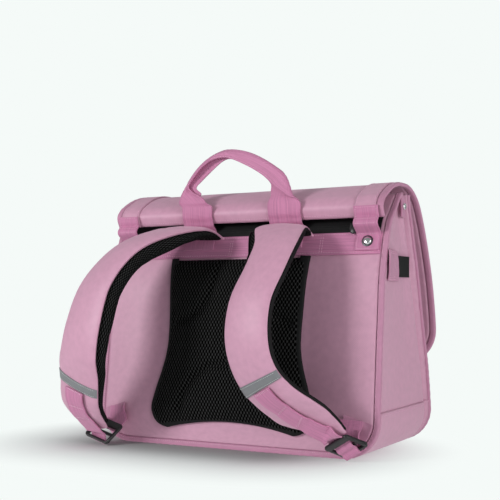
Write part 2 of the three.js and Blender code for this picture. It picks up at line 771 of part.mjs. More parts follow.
// Webbing sewn on the strap's lower end and led through the buckle
function strapWebbing(word, frame) {
  const line = [];
  const sewn = 5;
  for (let i = 0; i <= sewn; i += 1) {
    const place = strapFrame(word, mix(webbingShare, 1, i / sewn));
    const at = strapSurface(place, 0, strapCover + webbingSeat + webbingLift * (i / sewn) ** 4);
    line.push({ at, across: place.side.clone().negate(), width: strapWebbingWidth });
  }
  throughBuckle(line, strapRoutes[word], frame);
  add(`strap_webbing_${word}`, ribbon(line, webbingThickness), pinkTape());
}

// A cloth wing in the side seam and the webbing that runs from it to the buckle's last bar
function wingPoint(side, u, v, lift) {
  const z = wingLow + wingRise * u + wingHeight * v;
  const x = outlineHalf(z, panelInset + seatGap) - wingLength * u;
  return point(side * x, backY(z) - seatGap - wingStand * u ** 2 - lift, z);
}
const wingHold = [0.4, 1];
const wingSeat = [
  { up: 0.9, stand: webbingSeat },
  { up: 0.66, stand: webbingSeat },
  { up: 0.42, stand: webbingSeat + webbingLift },
];
function anchor(word, side, frame) {
  const wing = sheet(3, 2, (u, v, t) => wingPoint(side, u, v, clothThickness * t));
  add(`anchor_wing_${word}`, wing, pinkCloth());
  const centre = (wingHold[0] + wingHold[1]) / 2;
  const line = wingSeat.map(({ up, stand }) => {
    const [outer, inner] = wingHold.map((u) =>
      wingPoint(side, u, up - (u - centre) * (wingRise / wingHeight), clothThickness + stand));
    return {
      at: outer.clone().add(inner).multiplyScalar(0.5),
      across: inner.sub(outer).multiplyScalar(side),
      width: strapWebbingWidth,
    };
  });
  line.forEach(({ across }) => across.normalize());
  throughBuckle(line, anchorRoutes[word], frame);
  add(`anchor_webbing_${word}`, ribbon(line, webbingThickness), pinkTape());
}

// What is sewn on each gusset: a standing loop, an elastic and the tab with its snap at the top
function gussetPoint(side, y, z, lift) {
  const share = (y - gussetY(z, 0)) / (gussetY(z, 1) - gussetY(z, 0));
  return point(side * (halfWidth - gussetInset(z, share) + lift), y, z);
}
function gussetTrim(word, side) {
  const start = gussetY(loopLow, 0) + loopSetBack;
  add(`gusset_loop_${word}`, sheet(3, 6, (u, v, t) => {
    const z = loopLow + loopHeight * v;
    const stand = loopStand * Math.sin(Math.PI * v) ** 0.6;
    return gussetPoint(side, start + loopWidth * u, z, seatGap + stand + webbingThickness * t);
  }), pinkTape());
  const low = loopLow + (loopHeight - elasticHeight) / 2;
  add(`gusset_elastic_${word}`, sheet(3, 2, (u, v, t) => {
    const y = start + loopWidth + seatGap + elasticWidth * u;
    return gussetPoint(side, y, low + elasticHeight * v, seatGap + webbingThickness * t);
  }), blackMesh());
  const top = bodyHeight - sewnMargin;
  const tabLift = seatGap * 2;
  const middle = (gussetY(top, 0) + gussetY(top, 1)) / 2;
  add(`gusset_tab_${word}`, sheet(2, 3, (u, v, t) => {
    const z = top - gussetTabDrop * v;
    const seat = gussetPoint(side, middle + gussetTabWidth / 2, z, tabLift + webbingThickness * t);
    return point(seat.x, middle + gussetTabWidth * (u - 0.5), z);
  }), pinkTape());
  const snap = new THREE.CylinderGeometry(snapDiameter / 2, snapDiameter / 2, snapHeight, 12);
  snap.rotateZ(Math.PI / 2);
  const snapLift = tabLift + webbingThickness + seatGap + snapHeight / 2;
  const seat = gussetPoint(side, middle + gussetTabWidth / 2, top - gussetTabDrop / 2, snapLift);
  snap.translate(seat.x, middle, seat.z);
  add(`snap_${word}`, outward(snap), chrome());
}

// The plain closing piece behind the flap's front edge
function frontClasp() {
  const claspLow = flapCurve.getPointAt(1).z + claspUp;
  add("front_clasp", sheet(2, 2, (u, v, t) => {
    const x = claspWidth * (u - 0.5);
    const z = claspLow + claspHeight * v;
    const y = mix(frontSurface(x, z) + seatGap, flapPoint(x, flapLengthAt(z), -flapThickness).y - seatGap, t);
    return point(x, y, z);
  }), blackPlastic());
}
// The length down the hanging front of the flap at which it reaches a height
function flapLengthAt(z) {
  let low = flapLength / 2;
  let high = flapLength;
  for (let i = 0; i < 30; i += 1) {
    const middle = (low + high) / 2;
    if (flapCurve.getPointAt(middle / flapLength).z > z) low = middle;
    else high = middle;
  }
  return low;
}
frontClasp();

sides.forEach(([word, side]) => {
  const frame = buckleFrame(word);
  strap(word);
  buckle(word, frame);
  strapWebbing(word, frame);
  anchor(word, side, frame);
  gussetTrim(word, side);
});

export default bag;
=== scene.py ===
# A school ransel in pink cloth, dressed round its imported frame
import bpy
import bmesh
import math
from mathutils import Matrix, Vector, noise


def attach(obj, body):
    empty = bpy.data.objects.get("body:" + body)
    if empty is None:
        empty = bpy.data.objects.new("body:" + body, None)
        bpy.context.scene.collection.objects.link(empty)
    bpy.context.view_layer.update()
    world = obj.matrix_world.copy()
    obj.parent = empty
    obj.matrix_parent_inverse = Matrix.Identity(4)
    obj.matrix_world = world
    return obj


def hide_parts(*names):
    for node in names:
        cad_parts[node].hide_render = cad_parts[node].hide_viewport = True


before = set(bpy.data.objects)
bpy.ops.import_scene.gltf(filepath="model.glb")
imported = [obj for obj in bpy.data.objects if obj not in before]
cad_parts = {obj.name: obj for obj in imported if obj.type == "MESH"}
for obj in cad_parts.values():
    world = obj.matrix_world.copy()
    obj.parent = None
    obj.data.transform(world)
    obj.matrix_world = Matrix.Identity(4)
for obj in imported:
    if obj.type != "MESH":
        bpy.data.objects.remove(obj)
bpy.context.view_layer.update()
print("frame loaded")

# Sizes of the bag in millimetres, as in its drawing; left and right are as seen from the strap side
bag = {"width": 380, "depth": 182, "height": 304, "corner": 44, "seat": 0.3, "guard": 52, "sag": 9,
       "bulge": 16}
half = bag["width"] / 2
mm = 0.001
sides = (("left", -1), ("right", 1))


def spot(x, y, z):
    # from millimetres, with y counted from the foot of the strap side, to metres in the frame
    return Vector((x, y - bag["depth"] / 2, z)) * mm


def mix(a, b, t):
    return a + (b - a) * t


def clamp(t, low=0.0, high=1.0):
    return max(low, min(high, t))


def ease(t):
    t = clamp(t)
    return t * t * (3 - 2 * t)


def bump(t, middle, reach):
    # one rounded swell of 1 at its middle
    return math.exp(-((t - middle) / reach) ** 2)


def crease(x, y, seed):
    return noise.noise(Vector((x, y, seed)))


def squared(u, acrossPower, upPower):
    # a place round a squared section, as its cosine and sine pushed out to the corners
    c, s = math.cos(2 * math.pi * u), math.sin(2 * math.pi * u)
    return math.copysign(abs(c) ** acrossPower, c), math.copysign(abs(s) ** upPower, s)


def mirrored(share, total):
    # how far along the right half of a line that mirrors at its middle, and which half it is on
    run = share * total
    return (total - run, -1) if run > total / 2 else (run, 1)


def along(rows, column, at):
    # a smooth value between the rows of a table, whose first column is the key
    last = len(rows) - 1
    i = 0
    while i < last - 1 and at > rows[i + 1][0]:
        i += 1

    def slope(j):
        low, high = rows[max(j - 1, 0)], rows[min(j + 1, last)]
        return (high[column] - low[column]) / (high[0] - low[0])

    span = rows[i + 1][0] - rows[i][0]
    t = clamp((at - rows[i][0]) / span)
    start = (2 * t ** 3 - 3 * t ** 2 + 1) * rows[i][column] + (t ** 3 - 2 * t ** 2 + t) * span * slope(i)
    end = (3 * t ** 2 - 2 * t ** 3) * rows[i + 1][column] + (t ** 3 - t ** 2) * span * slope(i + 1)
    return start + end


class Route:
    # a smooth line through points, read evenly along its length
    def __init__(self, points, steps=40):
        ends = [points[0] * 2 - points[1]] + points + [points[-1] * 2 - points[-2]]
        self.spots = []
        for i in range(len(points) - 1):
            for k in range(steps):
                self.spots.append(self.between(*ends[i:i + 4], k / steps))
        self.spots.append(points[-1].copy())
        self.run = [0.0]
        for a, b in zip(self.spots, self.spots[1:]):
            self.run.append(self.run[-1] + (b - a).length)
        self.length = self.run[-1]

    def between(self, a, b, c, d, t):
        e, f, g = [(q - p).length ** 0.5 for p, q in ((a, b), (b, c), (c, d))]
        leave = ((b - a) / e - (c - a) / (e + f) + (c - b) / f) * f
        reach = ((c - b) / f - (d - b) / (f + g) + (d - c) / g) * f
        return (b * (2 * t ** 3 - 3 * t ** 2 + 1) + leave * (t ** 3 - 2 * t ** 2 + t)
                + c * (3 * t ** 2 - 2 * t ** 3) + reach * (t ** 3 - t ** 2))

    def at(self, share):
        # the point, its direction and its share of the points, at a share of the length
        goal = clamp(share) * self.length
        low, high = 0, len(self.run) - 1
        while high - low > 1:
            middle = (low + high) // 2
            if self.run[middle] <= goal:
                low = middle
            else:
                high = middle
        t = (goal - self.run[low]) / (self.run[high] - self.run[low])
        ahead = (self.spots[min(high + 1, len(self.spots) - 1)] - self.spots[max(low - 1, 0)]).normalized()
        return self.spots[low].lerp(self.spots[high], t), ahead, (low + t) / (len(self.spots) - 1)


# Linear colours
finishes = {
    "cloth": (0.60, 0.31, 0.435),
    "tape": (0.56, 0.205, 0.365),
    "thread": (0.74, 0.42, 0.57),
    "black": (0.006, 0.006, 0.0065),
    "mesh": (0.023, 0.023, 0.0232),
    # the mesh's holes: the dark layer below, painted darker still as painted shade inside the holes
    "shadedHole": (0.0003, 0.0003, 0.0003),
    "plastic": (0.014, 0.012, 0.014),
    "grey": (0.2, 0.205, 0.217),
    "greyThread": (0.55, 0.57, 0.57),
    "metal": (0.8, 0.8, 0.81),
    # the rivet washer's colour: painted shade of the gap round the dome and a painted dark reflection
    "shadedRingMetal": (0.09, 0.09, 0.095),
    "floor": (0.86, 0.9, 0.89),
    "backdrop": (0.913, 0.956, 0.939),
}


def newGroup(name, sizes, outputs):
    # a pattern's node group, which reads a place and its sizes
    tree = bpy.data.node_groups.new(name, "ShaderNodeTree")
    tree.interface.new_socket("Vector", in_out="INPUT", socket_type="NodeSocketVector")
    for label in sizes:
        tree.interface.new_socket(label, in_out="INPUT", socket_type="NodeSocketFloat")
    for label in outputs:
        tree.interface.new_socket(label, in_out="OUTPUT", socket_type="NodeSocketFloat")
    return tree, tree.nodes.new("NodeGroupInput"), tree.nodes.new("NodeGroupOutput")


def feed(tree, target, sources):
    # fills a node's inputs with values, or with links given as (node, output)
    for key, source in sources.items():
        if isinstance(source, tuple) and len(source) == 2 and hasattr(source[0], "outputs"):
            tree.links.new(source[0].outputs[source[1]], target.inputs[key])
        else:
            target.inputs[key].default_value = source


def node(tree, kind, sources=None, **values):
    made = tree.nodes.new(kind)
    for key, value in values.items():
        setattr(made, key, value)
    feed(tree, made, sources or {})
    return made


def maths(tree, operation, a, b=0.0, c=0.0):
    return node(tree, "ShaderNodeMath", {0: a, 1: b, 2: c}, operation=operation), 0


def vectors(tree, operation, a, b=(0, 0, 0)):
    made = node(tree, "ShaderNodeVectorMath", {0: a, 1: b}, operation=operation)
    return made, "Value" if operation == "LENGTH" else "Vector"


def ranged(tree, source, start, end, low=0.0, high=1.0, way="LINEAR"):
    # a value's stretch from start to end, carried over to low and high
    sources = {0: source, 1: start, 2: end, 3: low, 4: high}
    return node(tree, "ShaderNodeMapRange", sources, interpolation_type=way), 0


def weaveGroup():
    # a plain weave: two rows of threads that pass over each other
    tree, start, end = newGroup("plainWeave", ["Pitch"], ["Height", "Slub"])
    pitches = node(tree, "ShaderNodeCombineXYZ", {i: (start, "Pitch") for i in range(3)})
    parts = node(tree, "ShaderNodeSeparateXYZ", {0: vectors(tree, "DIVIDE", (start, "Vector"), (pitches, 0))})
    warp, weft = (maths(tree, "SINE", maths(tree, "MULTIPLY", (parts, i), math.pi)) for i in range(2))
    slub = node(tree, "ShaderNodeTexNoise", {"Vector": (start, "Vector"), "Scale": 120.0, "Detail": 3.0})
    feed(tree, end, {"Height": maths(tree, "MULTIPLY", warp, weft), "Slub": (slub, "Fac")})
    return tree


def ribGroup():
    # webbing: ribs across the strap with fine warp lines along it
    tree, start, end = newGroup("ribbedWebbing", ["Rib", "Line"], ["Height", "Streak"])
    parts = node(tree, "ShaderNodeSeparateXYZ", {0: (start, "Vector")})
    waves = []
    for i, pitch in enumerate(("Line", "Rib")):
        turns = maths(tree, "DIVIDE", (parts, i), (start, pitch))
        waves.append(maths(tree, "SINE", maths(tree, "MULTIPLY", turns, 2 * math.pi)))
    lines, ribs = waves
    stretched = node(tree, "ShaderNodeMapping", {"Vector": (start, "Vector"), "Scale": (700.0, 16.0, 16.0)})
    streak = node(tree, "ShaderNodeTexNoise", {"Vector": (stretched, 0), "Scale": 1.0, "Detail": 2.0})
    feed(tree, end, {"Height": maths(tree, "MULTIPLY_ADD", lines, 0.7, ribs), "Streak": (streak, "Fac")})
    return tree


def airMeshGroup():
    # open knit: two staggered rows of lens-shaped holes
    tree, start, end = newGroup("airMesh", ["Wide", "Tall"], ["ShadedHole", "Height"])
    size = node(tree, "ShaderNodeCombineXYZ", {0: (start, "Wide"), 1: (start, "Tall"), 2: 1.0})
    cells = vectors(tree, "DIVIDE", (start, "Vector"), (size, 0))
    aways = []
    for shift in ((0.0, 0.0, 0.0), (0.5, 0.5, 0.0)):
        share = vectors(tree, "FRACTION", vectors(tree, "ADD", cells, shift))
        inside = vectors(tree, "SUBTRACT", share, (0.5, 0.5, 0.0))
        aways.append(vectors(tree, "LENGTH", vectors(tree, "MULTIPLY", inside, (1.0, 0.86, 0.0))))
    nearest = maths(tree, "MINIMUM", *aways)
    shadedHole = ranged(tree, nearest, 0.25, 0.34, 1.0, 0.0, "SMOOTHSTEP")
    feed(tree, end, {"ShadedHole": shadedHole, "Height": ranged(tree, nearest, 0.12, 0.42, way="SMOOTHSTEP")})
    return tree


groups = {"weave": weaveGroup(), "rib": ribGroup(), "mesh": airMeshGroup()}


def newFinish(name, roughness=0.6, sheen=0.0, metallic=0.0, specular=0.5):
    made = bpy.data.materials.new(name)
    made.use_nodes = True
    tree = made.node_tree
    shader = tree.nodes["Principled BSDF"]
    feed(tree, shader, {"Roughness": roughness, "Metallic": metallic, "Specular IOR Level": specular})
    if sheen:
        tint = (1.0, 0.78, 0.9, 1.0)
        feed(tree, shader, {"Sheen Weight": sheen, "Sheen Roughness": 0.45, "Sheen Tint": tint})
    return made, tree, shader


def patterned(name, pattern, sizes, roughness, sheen=0.0, specular=0.5):
    # a finish with a pattern that lies in its cloth's own metres
    made, tree, shader = newFinish(name, roughness, sheen, specular=specular)
    where = node(tree, "ShaderNodeUVMap", uv_map="cloth")
    cloth = node(tree, "ShaderNodeGroup", {"Vector": (where, 0), **sizes}, node_tree=groups[pattern])
    return made, tree, shader, cloth


def tinted(tree, fac, dark, light, low=0.35, high=0.65):
    ramp = node(tree, "ShaderNodeValToRGB", {0: fac})
    for stop, position, colour in zip(ramp.color_ramp.elements, (low, high), (dark, light)):
        stop.position = position
        stop.color = (*colour, 1)
    return ramp, 0


def shade(colour, factor):
    return tuple(min(c * factor, 1) for c in colour)


def spreadOf(colour, spread):
    # a darker and a lighter tone of a colour
    return shade(colour, 1 - spread), shade(colour, 1 + spread)


def bumped(tree, height, distance, strength):
    return node(tree, "ShaderNodeBump", {"Height": height, "Distance": distance, "Strength": strength}), 0


# Pitches and heights in metres; dark, light and the spreads say how far the colour and the roughness vary
weaveLook = {"pitch": 0.0011, "spread": 0.05, "roughSpread": 0.06, "high": 0.00008, "strength": 0.5}
ribLook = {"rib": 0.0016, "line": 0.0021, "dark": 0.84, "light": 1.12, "roughness": 0.62, "high": 0.00011,
           "strength": 0.6}
knitLook = {"wide": 0.0043, "tall": 0.0070, "roughness": 0.8, "shine": 0.3, "high": 0.0009, "strength": 0.8}
grainLook = {"scale": 900.0, "spread": 0.08, "roughSpread": 0.05, "high": 0.00004, "strength": 0.4}


def clothFinish(name, colour, pitch=weaveLook["pitch"], sheen=0.25, roughness=0.5, specular=0.5):
    made, tree, shader, weave = patterned(name, "weave", {"Pitch": pitch}, roughness, sheen, specular)
    rough = weaveLook["roughSpread"]
    feed(tree, shader, {
        "Base Color": tinted(tree, (weave, "Slub"), *spreadOf(colour, weaveLook["spread"]), 0.3, 0.7),
        "Roughness": ranged(tree, (weave, "Slub"), 0.0, 1.0, roughness - rough, roughness + rough),
        "Normal": bumped(tree, (weave, "Height"), weaveLook["high"], weaveLook["strength"])})
    return made


def webbingFinish(name, colour, rib=ribLook["rib"], line=ribLook["line"], sheen=0.3, specular=0.5):
    sizes = {"Rib": rib, "Line": line}
    made, tree, shader, ribs = patterned(name, "rib", sizes, ribLook["roughness"], sheen, specular)
    dark, light = shade(colour, ribLook["dark"]), shade(colour, ribLook["light"])
    feed(tree, shader, {
        "Base Color": tinted(tree, (ribs, "Streak"), dark, light, 0.3, 0.7),
        "Normal": bumped(tree, (ribs, "Height"), ribLook["high"], ribLook["strength"])})
    return made


def meshFinish(name):
    sizes = {"Wide": knitLook["wide"], "Tall": knitLook["tall"]}
    made, tree, shader, knit = patterned(name, "mesh", sizes, knitLook["roughness"])
    feed(tree, shader, {
        # the holes are painted nearly black: the dark layer under the knit, with painted shade for their depth
        "Base Color": tinted(tree, (knit, "ShadedHole"), finishes["mesh"], finishes["shadedHole"], 0.0, 1.0),
        "Specular IOR Level": ranged(tree, (knit, "ShadedHole"), 0.0, 1.0, knitLook["shine"], 0.0),
        "Normal": bumped(tree, (knit, "Height"), knitLook["high"], knitLook["strength"])})
    return made


def plainFinish(name, colour, roughness, metallic=0.0, grain=grainLook["scale"], high=grainLook["high"],
                spread=grainLook["spread"]):
    made, tree, shader = newFinish(name, roughness, metallic=metallic)
    where = node(tree, "ShaderNodeTexCoord")
    speck = node(tree, "ShaderNodeTexNoise", {"Vector": (where, "Object"), "Scale": grain, "Detail": 2.0})
    rough = grainLook["roughSpread"]
    feed(tree, shader, {
        "Base Color": tinted(tree, (speck, "Fac"), *spreadOf(colour, spread)),
        "Roughness": ranged(tree, (speck, "Fac"), 0.0, 1.0, roughness - rough, roughness + rough),
        "Normal": bumped(tree, (speck, "Fac"), high, grainLook["strength"])})
    return made


def polished(name, colour, roughness):
    return plainFinish(name, colour, roughness, 1.0, grain=300.0, high=0.00001, spread=0.03)


pinkCloth = clothFinish("pink_nylon", finishes["cloth"])
trimColour = mix(Vector(finishes["cloth"]), Vector(finishes["tape"]), 0.5) * 0.88
pinkTrim = clothFinish("pink_trim", trimColour, 0.0013, 0.2, 0.6)
pinkWebbing = webbingFinish("pink_webbing", finishes["tape"])
blackTape = webbingFinish("black_tape", finishes["black"], 0.0012, 0.0018, sheen=0.0, specular=0.25)
blackCloth = clothFinish("black_binding", finishes["black"], 0.001, 0.0, 0.65, specular=0.2)
airMesh = meshFinish("black_air_mesh")
greyTape = clothFinish("grey_reflector", finishes["grey"], 0.0006, 0.0, 0.4)
pinkThread = plainFinish("pink_thread", finishes["thread"], 0.5)
greyThread = plainFinish("grey_thread", finishes["greyThread"], 0.5)
blackThread = plainFinish("black_thread", shade(finishes["black"], 2), 0.6)
blackPlastic = plainFinish("black_plastic", finishes["plastic"], 0.38, grain=1400.0)
chrome = polished("chrome", finishes["metal"], 0.16)
shadedRingMetal = polished("shaded_ring_metal", finishes["shadedRingMetal"], 0.35)
print("finishes mixed")


def thicken(piece, thick, offset, even):
    wall = piece.modifiers.new("thickness", "SOLIDIFY")
    wall.thickness = thick * mm
    wall.offset = offset
    wall.use_even_offset = even


def finishMesh(name, bm, facing=None, thick=0.0, rim=0.0):
    # turns a sheet to face one way, links it, and gives it its thickness and soft rim in millimetres
    if facing is not None:
        total = Vector()
        for face in bm.faces:
            face.normal_update()
            total += face.normal * face.calc_area()
        if total.dot(Vector(facing)) < 0:
            bmesh.ops.reverse_faces(bm, faces=bm.faces[:])
    mesh = bpy.data.meshes.new(name)
    bm.to_mesh(mesh)
    bm.free()
    mesh.shade_smooth()
    piece = bpy.data.objects.new(name, mesh)
    bpy.context.scene.collection.objects.link(piece)
    if thick:
        thicken(piece, thick, -1, True)
    if rim:
        soften = piece.modifiers.new("rim", "BEVEL")
        soften.width = rim * mm
        soften.segments = 2
        soften.limit_method = "ANGLE"
        soften.angle_limit = math.radians(50)
    return piece


def gridOf(columns, rows, place, flat):
    # a cloth's grid of columns and rows, put in place, with its own UV map in metres
    bm = bmesh.new()
    bmesh.ops.create_grid(bm, x_segments=columns, y_segments=rows, size=0.5)
    uvs = bm.loops.layers.uv.new("cloth")
    for face in bm.faces:
        for loop in face.loops:
            loop[uvs].uv = ((loop.vert.co.x + 0.5) * flat[0], (loop.vert.co.y + 0.5) * flat[1])
    for vert in bm.verts:
        vert.co = place(vert.co.x + 0.5, vert.co.y + 0.5)
    return bm


def closeUp(bm, dist):
    bmesh.ops.remove_doubles(bm, verts=bm.verts[:], dist=dist)
    bmesh.ops.holes_fill(bm, edges=[edge for edge in bm.edges if edge.is_boundary], sides=0)
    bmesh.ops.recalc_face_normals(bm, faces=bm.faces[:])


def layCloth(name, columns, rows, place, flat, facing, thick=0.0, rim=0.0):
    return finishMesh(name, gridOf(columns, rows, place, flat), facing, thick, rim)


def wrapTape(name, around, rows, place, flat):
    # a tape wrapped round an edge: its first and last columns meet, and its ends are closed
    bm = gridOf(around, rows, place, flat)
    closeUp(bm, 1e-6)
    return finishMesh(name, bm)


def dress(piece, finish, slot, *nodes):
    piece.data.materials.append(finish)
    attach(piece, "root")
    if nodes:
        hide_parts(*nodes)
    return piece


stitch = {"length": 2.5, "pitch": 3.4, "wide": 0.42, "high": 0.36}


def sew(name, lines, finish, slot, size=1.0):
    # rows of stitches along lines of (place, up) pairs
    bm = bmesh.new()
    pitch, wide, long, high = (stitch[key] * mm * size for key in ("pitch", "wide", "length", "high"))
    for line in lines:
        run = [0.0]
        for (a, _), (b, _) in zip(line, line[1:]):
            run.append(run[-1] + (b - a).length)
        i = 0
        for k in range(int(run[-1] / pitch)):
            goal = (k + 0.5) * pitch
            while i < len(run) - 2 and run[i + 1] < goal:
                i += 1
            t = (goal - run[i]) / max(run[i + 1] - run[i], 1e-9)
            ahead = (line[i + 1][0] - line[i][0]).normalized()
            up = line[i][1].lerp(line[i + 1][1], t).normalized()
            side = ahead.cross(up).normalized()
            turn = Matrix([side * wide, ahead * (long / 2), up * high]).transposed().to_4x4()
            seat = Matrix.Translation(line[i][0].lerp(line[i + 1][0], t)) @ turn
            bmesh.ops.create_uvsphere(bm, u_segments=6, v_segments=4, radius=1.0, matrix=seat)
    bmesh.ops.recalc_face_normals(bm, faces=bm.faces[:])
    return dress(finishMesh(name, bm), finish, slot)


def seam(place, start, end, facing, steps=60, lift=0.15):
    # a line just off a cloth's face, between two of its (across, along) places, for sew
    line = []
    near = 0.01
    for k in range(steps + 1):
        u, v = mix(start[0], end[0], k / steps), mix(start[1], end[1], k / steps)
        side = place(min(u + near, 1), v) - place(max(u - near, 0), v)
        down = place(u, min(v + near, 1)) - place(u, max(v - near, 0))
        up = side.cross(down).normalized()
        if up.dot(Vector(facing)) <= 0:
            up = -up
        line.append((place(u, v) + up * lift * mm, up))
    return line


# The body's edges: share of the height, then of the depth at the back and at the front
bodyEdges = [
    (0.0, 0.0, 1.0), (0.12, 0.005, 0.989), (0.3, 0.036, 0.942), (0.41, 0.055, 0.89), (0.54, 0.082, 0.826),
    (0.64, 0.1, 0.782), (0.72, 0.13, 0.742), (0.78, 0.165, 0.705), (0.835, 0.198, 0.672), (0.89, 0.247, 0.641),
    (0.935, 0.324, 0.612), (1.0, 0.43, 0.588),
]


def backY(z):
    return bag["depth"] * along(bodyEdges, 1, z / bag["height"])


def frontY(z):
    return bag["depth"] * along(bodyEdges, 2, z / bag["height"])


def outlineHalf(z, inset):
    # the panels' half width at a height, narrower round their lower corners
    if z >= bag["corner"]:
        return half - inset
    reach = (bag["corner"] - inset) ** 2 - (bag["corner"] - z) ** 2
    return half - bag["corner"] + math.sqrt(max(reach, 0))


def panelHeight(v, inset):
    # close together round the corner, then even up to the top
    turnShare = 0.2
    if v < turnShare:
        return bag["corner"] - (bag["corner"] - inset) * math.cos(math.pi / 2 * v / turnShare)
    return mix(bag["corner"], bag["height"], (v - turnShare) / (1 - turnShare))


panelLook = {"inset": 7.3, "thick": 2.4, "crown": 3.2, "crownTop": 228, "pucker": 0.55, "wave": 0.9,
             "padHalf": 100}


def edgePucker(away, run, seed, reach=9.0, pitch=0.16):
    # short folds that a seam draws in the cloth beside it
    return math.exp(-away / reach) * crease(run * pitch, away * 0.03, seed)


def panelSpot(u, v, sideSeed, lowSeed):
    # a place on a panel, and the folds that the seams beside and below it draw there
    z = panelHeight(v, panelLook["inset"])
    x = (2 * u - 1) * outlineHalf(z, panelLook["inset"])
    away = (1 - abs(2 * u - 1)) * half
    return x, z, panelLook["pucker"] * (edgePucker(away, z, sideSeed) + edgePucker(z - 7, x, lowSeed) * 0.7)


def backPanelPlace(u, v):
    x, z, folds = panelSpot(u, v, 3.1, 5.2)
    share = clamp((half - abs(x)) / (half - panelLook["padHalf"]))
    upright = ease(z / 50) * ease((panelLook["crownTop"] - z) / 60)
    swell = panelLook["crown"] * math.sin(math.pi * share) * upright
    soft = panelLook["wave"] * crease(x * 0.016, z * 0.012, 1.7) * ease(share * 2)
    return spot(x, backY(z) - swell - folds - soft, z)


def frontPanelPlace(u, v):
    x, z, folds = panelSpot(u, v, 7.4, 8.3)
    middle = 1 - (x / half) ** 2
    swell = bag["bulge"] * middle * math.sin(math.pi * min(z / bag["height"] * 1.05, 1)) ** 1.2
    soft = panelLook["wave"] * crease(x * 0.013, z * 0.015, 9.1) * middle
    return spot(x, frontY(z) + swell + folds + soft, z)


panelFlat = ((bag["width"] - 15) * mm, 325 * mm)
backPanel = layCloth("back_cloth", 110, 96, backPanelPlace, panelFlat, (0, -1, 0), panelLook["thick"])
dress(backPanel, pinkCloth, "pink_cloth", "back_panel")
frontPanel = layCloth("front_cloth", 110, 96, frontPanelPlace, panelFlat, (0, 1, 0), panelLook["thick"])
dress(frontPanel, pinkCloth, "pink_cloth", "front_panel")


def rimAt(share, low=None):
    # the body's outline from a height on the right, down, along the bottom and up the left side:
    # its place, the way outwards there, and its whole length
    radius = bag["corner"]
    straight = (low or bag["height"]) - radius
    arc = math.pi / 2 * radius
    total = 2 * straight + 2 * arc + bag["width"] - 2 * radius
    run, mirror = mirrored(share, total)
    if run < straight:
        x, z, nx, nz = half, radius + straight - run, 1.0, 0.0
    elif run < straight + arc:
        turn = (run - straight) / radius
        nx, nz = math.cos(turn), -math.sin(turn)
        x, z = half - radius + radius * nx, radius + radius * nz
    else:
        x, z, nx, nz = half - radius - (run - straight - arc), 0.0, 0.0, -1.0
    return x * mirror, z, nx * mirror, nz, total


binding = {"wide": 7, "deep": 6, "proud": 1.2, "ripple": 0.22, "square": 0.62, "pitch": 9,
           "stitchShare": 0.72}


def drawnIn(run, pitch, seed):
    # how the stitches draw a tape in and let it out along its length
    return 1 + 0.05 * math.sin(run * 2 * math.pi / pitch + 3 * crease(run * 0.02, 0, seed))


def bindingPlace(edgeY, outwards):
    def place(u, v):
        x, z, nx, nz, total = rimAt(v)
        c, s = squared(u, binding["square"], binding["square"])
        run = v * total
        drawn = drawnIn(run, binding["pitch"], 4.4)
        off = binding["wide"] / 2 * (1 - c * drawn)
        y = edgeY(z) + outwards * (binding["proud"] - binding["deep"] / 2 * (1 - s * drawn))
        return spot(x - nx * off, y + binding["ripple"] * crease(run * 0.11, 0, 2.2), z - nz * off)
    return place


def bindBody(name, solid, edgeY, outwards):
    tape = wrapTape(name, 20, 380, bindingPlace(edgeY, outwards), (22 * mm, rimAt(0)[4] * mm))
    dress(tape, pinkTrim, "pink_tape", solid)
    line = []
    off = binding["wide"] * binding["stitchShare"]
    steps = 399
    for k in range(steps + 1):
        x, z, nx, nz, _ = rimAt(k / steps)
        y = edgeY(z) + outwards * (binding["proud"] + 0.1)
        line.append((spot(x - nx * off, y, z - nz * off), Vector((0, outwards, 0))))
    sew(name + "_stitches", [line], pinkThread, "pink_tape", 0.85)


bindBody("back_edge_tape", "back_binding", backY, -1)
bindBody("front_edge_tape", "front_binding", frontY, 1)
print("panels and their edge tapes sewn")

# The dip's place and reach are shares across the side, first at its foot and then from dipTop up
gussetLook = {"dip": 9, "dipAt": (0.955, 0.93), "dipReach": (0.035, 0.055), "dipTop": 200, "clear": 5.1,
              "thick": 2.0, "fold": 4.0, "foldAt": 226, "foldReach": 9, "ridge": 1.2, "ridgeAt": 246,
              "ridgeReach": 12, "lean": 16, "pleat": 1.5, "pleatAt": 0.62, "pleatReach": 0.12, "wave": 0.9,
              "pucker": 0.6, "seat": 0.6}


def gussetY(z, share):
    return mix(backY(z) + gussetLook["clear"], frontY(z) - gussetLook["clear"], share)


def gussetInset(z, share):
    rise = clamp((z - bag["corner"]) / (bag["height"] - bag["corner"]))
    return bag["sag"] * math.sin(math.pi * share) * rise ** 0.8


def frontDip(z, share):
    # how far the side turns in before it meets the front edge tape
    high = clamp(z / gussetLook["dipTop"])
    at, reach = (mix(*gussetLook[key], high) for key in ("dipAt", "dipReach"))
    return gussetLook["dip"] * bump(share, at, reach)


def gussetPlace(side):
    def place(u, v):
        z = mix(bag["guard"] + bag["seat"], bag["height"], v)
        leant = z + gussetLook["lean"] * (u - 0.5)
        across = math.sin(math.pi * u)
        fold = gussetLook["fold"] * bump(leant, gussetLook["foldAt"], gussetLook["foldReach"]) * across ** 0.7
        ridge = gussetLook["ridge"] * bump(leant, gussetLook["ridgeAt"], gussetLook["ridgeReach"]) * across
        soft = gussetLook["wave"] * crease(u * 3.1, z * 0.014, 11 + side) * across
        pleatAt = gussetLook["pleatAt"] + 0.08 * (z - 52) / 250
        pleat = gussetLook["pleat"] * bump(u, pleatAt, gussetLook["pleatReach"]) * ease((z - 70) / 90)
        folds = gussetLook["pucker"] * (edgePucker(u * 90, z, 12.5) + edgePucker((1 - u) * 90, z, 13.5))
        x = half - gussetInset(z, u) - fold + ridge + soft - pleat + folds - frontDip(z, u)
        return spot(side * (x - gussetLook["seat"]), gussetY(z, u), z)
    return place


